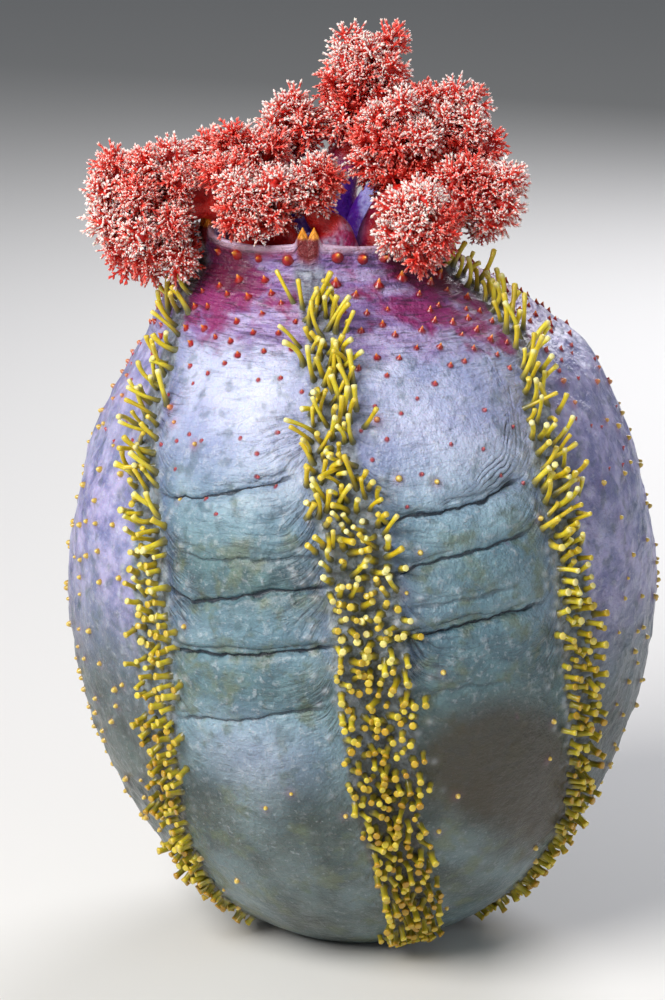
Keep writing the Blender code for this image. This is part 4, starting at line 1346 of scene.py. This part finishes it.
def footPaths(name, skin, places, chance):
    angle, z = places["feet"][name]
    count = len(angle)
    root, normal = onSkin(skin, angle, z)
    longShare = ease(*feetLook["longHeights"], z + chance.uniform(-0.008, 0.008, count))
    shortest, longest = feetLook["length"]
    length = shortest + (longest - shortest) * longShare
    length = length * (1 + feetLook["lengthSpread"] * chance.uniform(-1, 1, count))
    if name.startswith("back"):
        length = length * feetLook["backShare"]
    length = length * (0.55 + 0.45 * ease(0.0, 0.012, z))
    upward = unit(np.array([0, 0, 1.0]) - normal * normal[:, 2:])
    sideways = np.cross(upward, normal)
    long = longShare[:, None]
    base, more = feetLook["lean"]
    lean = chance.normal(0, 1, (count, 2)) * (base + more * long)
    base, more = feetLook["upward"]
    first = unit(normal + sideways * lean[:, :1] + upward * (lean[:, 1:] + base + more * long))
    base, more = feetLook["curl"]
    curl = chance.normal(0, 1, (count, 2)) * (base + more * long)
    second = unit(first + sideways * curl[:, :1] + upward * (curl[:, 1:] + feetLook["curlUpward"] * long))
    away = np.sum(second * normal, axis=1, keepdims=True)
    second = unit(second + normal * np.maximum(0, feetLook["leastRise"] - away))
    start = root - normal * feetLook["sink"]
    bend = start + first * (length * 0.55 + feetLook["sink"])[:, None]
    end = bend + second * (length * 0.5)[:, None]
    t = np.array(feetLook["steps"])[None, :, None]
    paths = (1 - t) ** 2 * start[:, None] + 2 * (1 - t) * t * bend[:, None] + t * t * end[:, None]
    paths[..., 2] = np.maximum(paths[..., 2], feetLook["radius"][0] * 1.15)
    return paths, longShare


def buildFeet(name, skin, places, material):
    chance = np.random.default_rng(feetLook["seed"] + rowNames.index(name))
    paths, longShare = footPaths(name, skin, places, chance)
    count = len(paths)
    thick, thin = feetLook["radius"]
    size = (
        (thick + (thin - thick) * longShare)
        * (1 + feetLook["radiusSpread"] * chance.uniform(-1, 1, count))
    )
    if name.startswith("back"):
        size = size * 0.9
    radii = size[:, None] * np.array(feetLook["outline"])
    tubes = sweepTubes(paths, radii, feetLook["sides"])
    angle, z = places["feet"][name]
    roots = mapPlaces(angle, z)
    uv = tuftPatches(roots, tubes, feetLook["rings"], feetLook["sides"], feetLook["patch"])
    tone = chance.random(count)
    bundle = newBundle()
    shares = np.array(feetLook["shares"])
    tubeSize = feetLook["rings"] * feetLook["sides"] + 1
    isTip = np.arange(len(tubes["points"])) % tubeSize == tubeSize - 1
    values = {
        "along": shares[tubes["ring"]] + 0.06 * isTip,
        "tone": tone[tubes["tube"]],
        # how low on the body the foot stands; there its colour turns olive and gold, partly its own colour,
        # partly painted shade
        "low": 1 - ease(0.040, 0.098, z)[tubes["tube"]],
    }
    addToBundle(bundle, tubes["points"], tubes["quads"], tubes["tris"], uv, values)
    pieceName = "tubeFeet" + name[0].upper() + name[1:]
    node = {"backLeft": "feet_back_left", "backRight": "feet_back_right"}.get(name, "feet_" + name)
    return finishBundle(bundle, pieceName, material, [node])


feetColours = {
    "base": (0.11, 0.11, 0.05),
    "stem": (0.38, 0.31, 0.03),
    "yellow": (0.68, 0.51, 0.012),
    "lemon": (0.76, 0.64, 0.035),
    # olive and gold for feet low on the body, partly their own colour, partly painted shade
    "gold": (0.44, 0.22, 0.006),
    "olive": (0.20, 0.18, 0.014),
    "tip": (0.88, 0.84, 0.46),
}


def feetFinish():
    c = feetColours
    f = Finish("tubeFootSkin")
    along = f.value("along")
    tone = f.value("tone")
    low = f.value("low")
    yellow = f.mix(f.band(tone, 0.1, 0.9), c["yellow"], c["lemon"])
    # olive sides, gold ends and less pale tips low on the body: partly the feet's own colour, partly
    # painted shade of the lower body
    side = f.mix(f.math("MULTIPLY", low, f.band(tone, 0.0, 1.0, 1.0, 0.5)), yellow, c["olive"])
    end = f.mix(f.math("MULTIPLY", low, f.band(tone, 0.0, 1.0, 0.9, 0.2)), yellow, c["gold"])
    colour = f.mix(f.band(along, 0.02, 0.24), c["base"], c["stem"])
    colour = f.mix(f.band(along, 0.14, 0.45), colour, side)
    colour = f.mix(f.band(along, 0.62, 0.90), colour, end)
    paleness = f.math("MULTIPLY", f.band(tone, 0.25, 1.0, 0.10, 0.9), f.band(low, 0.0, 0.8, 0.9, 0.06))
    colour = f.mix(f.math("MULTIPLY", f.band(along, 0.80, 0.98), paleness), colour, c["tip"])
    freckle = f.band(f.noise(1400, 2, 0.5), 0.52, 0.72)
    colour = f.mix(f.math("MULTIPLY", freckle, 0.30), colour, c["stem"])
    roughness = f.band(f.noise(900, 2, 0.5), 0.3, 0.7, 0.28, 0.42)
    normal = f.bump(f.noise(2200, 3, 0.6), 0.35, 0.0002)
    return f.surface(
        colour, roughness, normal,
        Subsurface_Weight=0.15, Subsurface_Scale=0.0012, Coat_Weight=0.3, Coat_Roughness=0.15,
    )


# Warts of the neck and small papillae of flanks and back
wartLook = {
    "seed": 7,
    "patch": 0.003,
    "wart": {
        "sides": 10,
        "steps": (-0.35, 0.0, 0.35, 0.75, 1.15, 1.45, 1.55),  # up the wart, in its own thicknesses
        "outline": (1.25, 1.05, 0.72, 0.46, 0.30, 0.16, 0.05),
        "rise": 0.35,  # how far it leans up the body
        "spread": 0.12,
    },
    "papilla": {
        "sides": 8,
        "steps": (-0.5, 0.15, 0.7, 1.1, 1.3),
        "outline": (1.25, 1.0, 0.85, 0.55, 0.2),
        "size": (0.00034, 0.00066),
    },
}


def knobsFrom(look, where, root, way, size, chance):
    # small pointed knobs on the skin, with their places on the map and their colour values
    steps = np.array(look["steps"])
    paths = root[:, None] + way[:, None] * (steps[None] * size[:, None])[..., None]
    radii = size[:, None] * np.array(look["outline"])
    tubes = sweepTubes(paths, radii, look["sides"])
    uv = tuftPatches(mapPlaces(*where), tubes, len(steps), look["sides"], wartLook["patch"])
    along = np.linspace(0, 1, len(steps))[tubes["ring"]]
    values = {"along": along, "tone": chance.random(len(size))[tubes["tube"]]}
    return tubes, uv, values


def buildWarts(skin, places, material):
    chance = np.random.default_rng(wartLook["seed"])
    bundle = newBundle()
    angle, z = places["warts"]
    root, normal = onSkin(skin, angle, z)
    upward = unit(np.array([0, 0, 1.0]) - normal * normal[:, 2:])
    size = wartSizeAt(z) * places["wartSize"]
    look = wartLook["wart"]
    lean = unit(normal + upward * look["rise"] + chance.normal(0, look["spread"], normal.shape))
    tubes, uv, values = knobsFrom(look, (angle, z), root, lean, size, chance)
    values["yellow"] = 0.0
    values["small"] = 1 - ease(0.116, 0.128, z)[tubes["tube"]]
    addToBundle(bundle, tubes["points"], tubes["quads"], tubes["tris"], uv, values)

    angle, z = places["papillae"]
    root, normal = onSkin(skin, angle, z)
    look = wartLook["papilla"]
    size = chance.uniform(*look["size"], len(angle))
    tubes, uv, values = knobsFrom(look, (angle, z), root, normal, size, chance)
    values["yellow"] = 1.0 - 0.75 * ease(0.104, 0.116, z)[tubes["tube"]]
    values["small"] = 1.0
    addToBundle(bundle, tubes["points"], tubes["quads"], tubes["tris"], uv, values)
    return finishBundle(bundle, "warts", material)


def wartFinish():
    f = Finish("wartSkin")
    along = f.value("along")
    red = f.ramp(along, (
        (0.0, (0.16, 0.006, 0.016)),
        (0.40, (0.42, 0.014, 0.010)),
        (0.62, (0.80, 0.20, 0.01)),
        (1.0, (0.92, 0.58, 0.12)),
    ))
    yellow = f.ramp(along, (
        (0.0, (0.34, 0.26, 0.14)),
        (0.4, (0.58, 0.38, 0.04)),
        (1.0, (0.84, 0.68, 0.20)),
    ))
    colour = f.mix(f.math("MULTIPLY", f.value("small"), 0.6), red, (0.50, 0.09, 0.14))
    colour = f.mix(f.value("yellow"), colour, yellow)
    colour = f.mix(
        f.math("MULTIPLY", f.band(f.noise(900, 2, 0.5), 0.5, 0.7), 0.25), colour, (0.25, 0.02, 0.02)
    )
    roughness = f.band(f.value("tone"), 0.0, 1.0, 0.26, 0.40)
    normal = f.bump(f.noise(2500, 3, 0.6), 0.3, 0.00015)
    return f.surface(
        colour, roughness, normal,
        Subsurface_Weight=0.1, Subsurface_Scale=0.001, Coat_Weight=0.4, Coat_Roughness=0.12,
    )


# Crowns: lobed bushes of branches that end in tufts of pale pointed fingers
crownLook = {
    "tuftLength": 0.0041,
    "tuftKinds": 9,
    "tuftArea": 8.6e-6,  # surface of a lobe for each tuft
    "branchRadius": (0.0013, 0.0009),
    "core": 0.50,  # fleshy middle of each lobe, as a share of the lobe
    "twigRadius": (0.00046, 0.00034),
    "fingerRadius": 0.00021,
    "frontShare": 0.40,  # how far forward in the crown the lobes of the photo stand
    "backShare": 0.55,
    "backFrom": 0.45,  # room behind a lobe, as a share of the crown, from which another stands there
    "jitter": 0.0012,
    "kindSeed": 5,
    "tuftScale": (0.72, 1.30),
    "tuftWander": 0.12,
    "tuftDepth": 0.17,  # how unevenly the tufts reach out
    "clearOfLobes": 0.80,
    "clearOfCrowns": 0.60,
    "patch": 0.003,
}
# Lobes of each crown as seen from the camera: right, up and radius in millimetres from the crown's middle
lobes = {
    "1": (
        (-6, 9, 2.8), (0, 8.6, 4.2), (4.6, 11.2, 2.8), (6.6, 5.4, 3.6), (-1, 3, 4.8), (-6.6, -1.4, 3.6),
        (-1, -4, 4.4), (5, -2, 4), (1, -8.4, 2.8), (6.4, -8.6, 3), (-4.8, -6.6, 2.8), (-7, 4, 3),
    ),
    "2": (
        (-3, 1.6, 2.6), (0.6, 3.2, 2.8), (-0.6, -1.6, 2.8), (3, -0.4, 2.8), (2.6, -4, 2.4),
    ),
    "3": (
        (-2.6, 4.4, 2.8), (1, 2, 3.2), (2.4, -2.2, 3.2), (-2.4, -1, 2.8), (4.8, 2.6, 2.2),
    ),
    "10": (
        (-5.8, 6.6, 3.2), (-3.4, 2.8, 3), (0, 1, 3.2), (2.8, -2, 2.6), (3.6, 3.4, 2.8), (-3, -2, 2.8),
        (0, -4.4, 2.4),
    ),
    "4": (
        (0.6, 4, 2.8), (-2.4, 0, 3), (3.2, -0.8, 3.2), (-1, -3.4, 2.6), (3.6, 3.4, 2.2),
    ),
    "9": (
        (-5.4, 0, 2.4), (-1.6, 0.2, 2.8), (4, 2, 3.2), (1.4, -1.6, 2.6), (0.6, 2.8, 2.4),
    ),
    "5": (
        (-3.4, 8.6, 2.6), (4.2, 8.8, 2.4), (0, 6.6, 3), (-1.4, 1.6, 3.4), (4.2, 3.2, 3), (-6, 0, 2.2),
        (-2.6, -3.4, 3.2), (1.8, -2.4, 3.4), (3.6, -6.4, 2.6), (-4.4, -6.4, 2.8), (-0.8, -8.6, 2.6),
        (-4.4, 4.6, 2.4),
    ),
    "6": (
        (-4.4, 7.6, 2.8), (1.6, 9.2, 2.6), (5, 7, 2.2), (4.6, 2, 3.4), (7.2, -1.6, 2.6), (-0.4, 3, 3.8),
        (2.2, -2.4, 3.4), (-4, -1.6, 3.2), (0, -6, 2.8), (5.4, -5.4, 2.6),
    ),
    "7": (
        (0.4, 8, 2.8), (-5, 1.6, 3.2), (-1, 0, 3.8), (-6, -2.8, 2.6), (4, 1.6, 4), (5, -3.4, 3.6),
        (-2.2, -6, 2.8), (1.8, -6.6, 2.6), (-4, 5.6, 2.4),
    ),
    "8": (
        (-6, 3.4, 2.8), (-2.6, 3.8, 3.2), (1.2, 1.6, 3.2), (3.6, -1.6, 2.4), (-3.2, -1.8, 3.2),
        (-6.4, -3.2, 2.6), (0.8, -4.4, 2.6), (4.4, 3.4, 2.2),
    ),
    "8_side": (
        (1, 3.8, 3.2), (-1.2, -0.8, 3.2), (-4.8, -3.2, 2.6), (3, -3.2, 2.8), (-0.2, -5.6, 2.2),
        (4, 0, 2.6), (-4, 2, 2.6),
    ),
}


def branchPart(points, radii, shares, sides):
    # one branch along a few points, with its own level of the tip's colour at each of them
    tubes = sweepTubes(np.array([points]), np.array([radii]), sides)
    return tubes["points"], tubes["quads"], tubes["tris"], np.asarray(shares)[tubes["ring"]]


def fingerPart(start, way, length, thick, share):
    # a three-sided finger, a little thicker in its middle, with a fine point
    side = unit(np.cross(way, (0.31, 0.77, 0.55)))
    up = np.cross(way, side)
    turns = np.arange(3) * math.tau / 3
    ring = np.cos(turns)[:, None] * side + np.sin(turns)[:, None] * up
    points = np.concatenate([
        start + ring * thick * 0.85,
        start + way * length * 0.62 + ring * thick * 1.1,
        (start + way * length)[None],
    ])
    around = np.arange(3)
    after = (around + 1) % 3
    quads = np.stack([around, after, after + 3, around + 3], axis=-1)
    tris = np.stack([around + 3, after + 3, np.full(3, 6)], axis=-1)
    return points, quads, tris, np.array([share] * 3 + [share + 0.62 * (1 - share)] * 3 + [1.0])


def tuftKind(chance):
    # one tuft along +Z: a stem that divides into flat sprays, each with fingers down both its sides
    length = crownLook["tuftLength"]
    thick = crownLook["fingerRadius"]
    fork = np.array([0, 0, length * 0.30])
    parts = [
        branchPart(
            [(0, 0, 0), fork, fork * 1.25], [thick * 2.3, thick * 1.9, thick * 1.2], (0, 0.22, 0.25), 4
        ),
    ]
    start = chance.uniform(0, math.tau)
    for index in range(6):
        middle = index == 5
        turn = start + index * math.tau / 5 + chance.uniform(-0.25, 0.25)
        cone = math.radians(chance.uniform(2, 12) if middle else chance.uniform(30, 62))
        flat = np.array([math.cos(turn), math.sin(turn), 0.0])
        way = flat * math.sin(cone) + np.array([0, 0, math.cos(cone)])
        across = unit(np.cross(way, unit(chance.normal(0, 1, 3))))
        reach = length * chance.uniform(0.50, 0.68)
        bend = across * chance.uniform(-0.12, 0.12) * reach + flat * 0.06 * reach

        def axisAt(share):
            return fork + way * reach * share + bend * share * share

        axis = [axisAt(0), axisAt(0.5), axisAt(1)]
        parts.append(branchPart(axis, [thick * 1.35, thick * 1.1, thick * 0.7], (0.25, 0.45, 0.66), 3))
        for step in range(5):
            share = 0.28 + 0.68 * step / 4 + chance.uniform(-0.04, 0.04)
            lean = math.radians(62 - 28 * share + chance.uniform(-9, 9))
            side = across * (1 if step % 2 else -1) + chance.normal(0, 0.30, 3)
            side = unit(side - way * np.dot(side, way))
            out = way * math.cos(lean) + side * math.sin(lean)
            size = length * (0.30 - 0.10 * share) * chance.uniform(0.8, 1.2)
            parts.append(fingerPart(axisAt(share), out, size, thick * 0.95, 0.36 + 0.30 * share))
        parts.append(fingerPart(axisAt(0.97), unit(way + bend / reach), length * 0.20, thick * 0.9, 0.66))
    points, quads, tris, shares = [], [], [], []
    count = 0
    for partPoints, partQuads, partTris, partShares in parts:
        points.append(partPoints)
        quads.append(partQuads + count)
        tris.append(partTris + count)
        shares.append(partShares)
        count += len(partPoints)
    return tuple(np.concatenate(x) for x in (points, quads, tris, shares))


def spreadDirections(count, turn):
    # directions spread evenly over a ball
    i = np.arange(count)
    height = 1 - (2 * i + 1) / count
    angle = i * math.pi * (3 - math.sqrt(5)) + turn
    flat = np.sqrt(1 - height * height)
    return np.stack([flat * np.cos(angle), flat * np.sin(angle), height], axis=-1)


def insideBody(points, margin):
    x, y = middleOf(points[:, 2])
    out = np.stack([points[:, 0] - x, -(points[:, 1] - y) / bodyShape["depthShare"]], axis=-1)
    angle = np.degrees(np.arctan2(out[:, 0], out[:, 1]))
    distance = np.linalg.norm(out, axis=-1)
    rim = bodyShape["rimHeight"] + 0.001
    return (points[:, 2] < rim) & (distance < radiusOf(angle, np.minimum(points[:, 2], rim)) + margin)


def frameOf(axis):
    helper = np.array([0.0, 1.0, 0.0]) if abs(axis[1]) < 0.9 else np.array([1.0, 0.0, 0.0])
    side = unit(np.cross(helper, axis))
    return np.stack([side, np.cross(axis, side), axis], axis=-1)


def planLobes(plan, chance):
    # the crown's lobes: those of the photo, set forward, and as many again behind them
    rise = math.radians(stageLook["elevation"])
    right = np.array([1.0, 0, 0])
    up = np.array([0, math.sin(rise), math.cos(rise)])
    away = np.array([0, math.cos(rise), -math.sin(rise)])
    size = (plan["along"] + 2 * plan["across"]) / 3
    middles, radii = [], []
    for side, height, radius in np.array(lobes[plan["node"].split("_", 1)[1]]) / 1000:
        room = math.sqrt(max(0.0, size * size - side * side - height * height))
        base = plan["centre"] + right * side + up * height
        middles.append(base - away * room * crownLook["frontShare"] * chance.uniform(0.7, 1.1))
        radii.append(radius)
        if room > crownLook["backFrom"] * size:
            back = base + away * room * crownLook["backShare"] * chance.uniform(0.8, 1.2)
            middles.append(
                back + (right * chance.uniform(-1, 1) + up * chance.uniform(-1, 1)) * crownLook["jitter"]
            )
            radii.append(radius * chance.uniform(0.9, 1.05))
    middles, radii = np.array(middles), np.array(radii)
    keep = ~insideBody(middles, 0.0005)
    return middles[keep], radii[keep]


def placeTufts(middles, radii, others, chance):
    # root, direction, roll, size and lobe of every tuft of a crown
    length = crownLook["tuftLength"]
    found = []
    for index, (middle, radius) in enumerate(zip(middles, radii)):
        count = int(4 * math.pi * radius * radius / crownLook["tuftArea"])
        ways = spreadDirections(count, chance.uniform(0, math.tau))
        ways = unit(ways + chance.normal(0, crownLook["tuftWander"], ways.shape))
        scale = chance.uniform(*crownLook["tuftScale"], count)
        tip = radius * (1 + crownLook["tuftDepth"] * chance.normal(0, 1, count))
        rootAt = np.maximum(tip - length * scale, 0.0005)
        roots = middle + ways * rootAt[:, None]
        tips = middle + ways * (rootAt + length * scale * 0.9)[:, None]
        keep = np.ones(count, bool)
        for other in range(len(middles)):
            if other != index:
                keep &= np.linalg.norm(
                    tips - middles[other], axis=1
                ) > radii[other] * crownLook["clearOfLobes"]
        for otherPlan in others:
            offset = (tips - otherPlan["centre"]) @ frameOf(otherPlan["axis"])
            stretch = np.array([otherPlan["across"], otherPlan["across"], otherPlan["along"]])
            keep &= np.linalg.norm(offset / stretch, axis=1) > crownLook["clearOfCrowns"]
        keep &= ~insideBody(tips, 0.0002)
        for i in np.nonzero(keep)[0]:
            found.append((roots[i], ways[i], chance.uniform(0, math.tau), scale[i], index))
    return found


def buildCrown(plan, plans, kinds, material):
    chance = np.random.default_rng(sum(ord(letter) for letter in plan["node"]) * 7 + 3)
    others = [other for other in plans if other is not plan]
    middles, lobeRadii = planLobes(plan, chance)
    tufts = placeTufts(middles, lobeRadii, others, chance)
    lobeTone = chance.random(len(middles))
    turned = frameOf(plan["axis"])
    bundle = newBundle()

    def rootUv(points):
        offset = (points - plan["centre"]) @ turned
        u = (np.arctan2(offset[:, 1], offset[:, 0]) / math.tau + 0.5) * 0.96 + 0.02
        v = (np.arcsin(np.clip(unit(offset)[:, 2], -1, 1)) / math.pi + 0.5) * 0.96 + 0.02
        return np.stack([u, v], axis=-1)

    def addTubes(paths, radii, sides, shares, tone):
        tubes = sweepTubes(paths, radii, sides)
        uv = tuftPatches(rootUv(paths[:, 0]), tubes, paths.shape[1], sides, crownLook["patch"])
        values = {"tip": shares[tubes["ring"]], "tone": tone[tubes["tube"]]}
        addToBundle(bundle, tubes["points"], tubes["quads"], tubes["tris"], uv, values)

    # a branch from the stalk's end into every lobe, swelling to a fleshy core there
    axisStart = plan["path"][plan["entered"]]
    axisEnd = plan["path"][-1]
    leaveAt = axisStart + (axisEnd - axisStart) * chance.uniform(0.0, 0.9, len(middles))[:, None]
    span = middles - leaveAt
    elbow = leaveAt + plan["axis"] * 0.3 * np.linalg.norm(span, axis=1)[:, None]
    t = np.array([0, 0.35, 0.65, 1.0])[None, :, None]
    paths = (1 - t) ** 2 * leaveAt[:, None] + 2 * (1 - t) * t * elbow[:, None] + t * t * middles[:, None]
    out = unit(paths[:, -1] - paths[:, -2])
    core = lobeRadii * crownLook["core"]
    steps = np.array([-0.75, 0.0, 0.6, 0.95])
    ends = middles[:, None] + out[:, None] * (steps[None] * core[:, None])[..., None]
    thick, thin = crownLook["branchRadius"]
    radii = np.concatenate([np.broadcast_to(np.linspace(thick, thin, 3), (len(middles), 3)),
                            core[:, None] * np.array([0.72, 1.0, 0.8, 0.32])], axis=1)
    addTubes(np.concatenate([paths[:, :3], ends], axis=1), radii, 9, np.linspace(0, 0.16, 7), lobeTone)

    # twigs from each lobe's core to its tufts
    roots = np.array([tuft[0] for tuft in tufts])
    ways = np.array([tuft[1] for tuft in tufts])
    owners = np.array([tuft[4] for tuft in tufts])
    # painted highlight: tufts on the upper left of the crown, towards the key lamp, get a higher tone and
    # so paler tips; the rest of the tone is random
    facing = unit(roots - plan["centre"])[:, 2] * 0.5 - unit(roots - plan["centre"])[:, 0] * 0.2
    tone = np.clip(0.35 * chance.random(len(tufts)) + 0.60 * lobeTone[owners] + 0.05 + 0.25 * facing, 0, 1)
    starts = middles[owners] + ways * 0.0003
    paths = np.stack([starts, roots + ways * 0.0002], axis=1)
    thick, thin = crownLook["twigRadius"]
    addTubes(
        paths, np.broadcast_to(np.array([thick, thin]), (len(tufts), 2)), 4, np.array([0.05, 0.2]), tone
    )

    # the tufts
    for kind, (points, quads, tris, shares) in enumerate(kinds):
        chosen = np.array([i for i in range(len(tufts)) if (i * 5 + 2) % len(kinds) == kind], int)
        if not len(chosen):
            continue
        matrices = []
        for i in chosen:
            roll, scale = tufts[i][2], tufts[i][3]
            turn = np.array(
                [[math.cos(roll), -math.sin(roll), 0], [math.sin(roll), math.cos(roll), 0], [0, 0, 1]]
            )
            matrices.append(frameOf(ways[i]) @ turn * scale)
        moved = np.einsum("nij,vj->nvi", np.array(matrices), points) + roots[chosen][:, None]
        offsets = (np.arange(len(chosen)) * len(points))[:, None, None]
        across = np.clip(points[:, 0] / crownLook["tuftLength"], -0.5, 0.5)
        patch = np.stack([across, shares - 0.5], axis=-1) * crownLook["patch"]
        uv = (rootUv(roots[chosen])[:, None] + patch[None]).reshape(-1, 2)
        values = {"tip": np.tile(shares, len(chosen)), "tone": np.repeat(tone[chosen], len(points))}
        addToBundle(
            bundle,
            moved,
            (quads[None] + offsets).reshape(-1, 4),
            (tris[None] + offsets).reshape(-1, 3),
            uv,
            values,
        )
    pieceName = "branchlets" + "".join(word.capitalize() for word in plan["node"].split("_")[1:])
    return finishBundle(bundle, pieceName, material, [plan["node"] + "_crown"])


def crownFinish():
    f = Finish("branchletSkin")
    tip = f.value("tip")
    tone = f.value("tone")
    # the tone, partly random and partly the painted highlight of the lit side, shifts the pale tips
    shifted = f.vary(tip, tone, 0.46)
    colour = f.ramp(shifted, (
        (0.0, (0.36, 0.006, 0.006)),
        (0.32, (0.64, 0.014, 0.010)),
        (0.58, (0.82, 0.040, 0.026)),
        (0.78, (0.90, 0.19, 0.15)),
        (0.95, (0.97, 0.86, 0.82)),
    ))
    grain = f.band(f.noise(1100, 2, 0.5), 0.42, 0.62)
    colour = f.mix(f.math("MULTIPLY", grain, 0.16), colour, (0.82, 0.12, 0.05))
    roughness = f.band(tone, 0.0, 1.0, 0.34, 0.50)
    normal = f.bump(f.noise(3000, 2, 0.6), 0.25, 0.0001)
    return f.surface(colour, roughness, normal, Subsurface_Weight=0.12, Subsurface_Scale=0.0008)


# Floor, lights and camera
stageLook = {
    "floorSize": 6.0,
    "floorColour": (0.78, 0.77, 0.75),
    "worldColour": (0.80, 0.86, 0.95),
    "worldStrength": 0.14,
    "aim": (-0.0059, 0.0, 0.0881),
    "distance": 0.70,
    "elevation": 15.0,
    "lens": 126.0,
    "sensor": 36.0,
}
lamps = (
    {"name": "key", "place": (-0.45, -0.45, 0.62), "size": 0.55, "power": 9.0, "colour": (1.0, 0.98, 0.95)},
    {"name": "fill", "place": (0.70, -0.50, 0.35), "size": 0.60, "power": 1.1, "colour": (0.88, 0.93, 1.0)},
    {"name": "rim", "place": (0.30, 0.65, 0.55), "size": 0.50, "power": 5.0, "colour": (0.95, 0.95, 1.0)},
)


def aimAt(thing, place, target):
    thing.location = place
    thing.rotation_euler = (Vector(target) - Vector(place)).to_track_quat("-Z", "Y").to_euler()


def buildStage():
    bpy.ops.mesh.primitive_plane_add(size=stageLook["floorSize"])
    floor = bpy.context.active_object
    floor.name = "floor"
    f = Finish("paleFloor")
    f.surface(stageLook["floorColour"], 0.7, f.bump(f.noise(40, 2, 0.5), 0.02, 0.001))
    floor.data.materials.append(f.material)
    for lamp in lamps:
        data = bpy.data.lights.new(lamp["name"], "AREA")
        data.shape = "DISK"
        data.size = lamp["size"]
        data.energy = lamp["power"]
        data.color = lamp["colour"]
        light = bpy.data.objects.new(lamp["name"], data)
        bpy.context.scene.collection.objects.link(light)
        aimAt(light, lamp["place"], stageLook["aim"])
    world = bpy.data.worlds.new("studio")
    world.use_nodes = True
    background = world.node_tree.nodes["Background"]
    background.inputs["Color"].default_value = (*stageLook["worldColour"], 1.0)
    background.inputs["Strength"].default_value = stageLook["worldStrength"]
    bpy.context.scene.world = world
    camera = bpy.data.objects.new("camera", bpy.data.cameras.new("camera"))
    bpy.context.scene.collection.objects.link(camera)
    camera.data.sensor_fit = "AUTO"
    camera.data.sensor_width = stageLook["sensor"]
    camera.data.lens = stageLook["lens"]
    camera.data.clip_start = 0.01
    rise = math.radians(stageLook["elevation"])
    back = Vector((0, -math.cos(rise), math.sin(rise))) * stageLook["distance"]
    aimAt(camera, Vector(stageLook["aim"]) + back, stageLook["aim"])
    bpy.context.scene.camera = camera
    bpy.context.scene.view_settings.view_transform = "Standard"
    print("floor, lights and camera set")


places = scatterAll()
print("places found:", {name: len(found[0]) for name, found in places["feet"].items()}, "feet,",
      len(places["warts"][0]), "warts,", len(places["papillae"][0]), "papillae")
plans = planStalks()
skin = buildSkinGrid(places)
buildSkin(skin, plans, skinFinish())
footSkin = feetFinish()
for rowName in rowNames:
    buildFeet(rowName, skin, places, footSkin)
buildWarts(skin, places, wartFinish())
kindChance = np.random.default_rng(crownLook["kindSeed"])
tuftKinds = [tuftKind(kindChance) for _ in range(crownLook["tuftKinds"])]
branchletSkin = crownFinish()
for plan in plans:
    buildCrown(plan, plans, tuftKinds, branchletSkin)
buildStage()
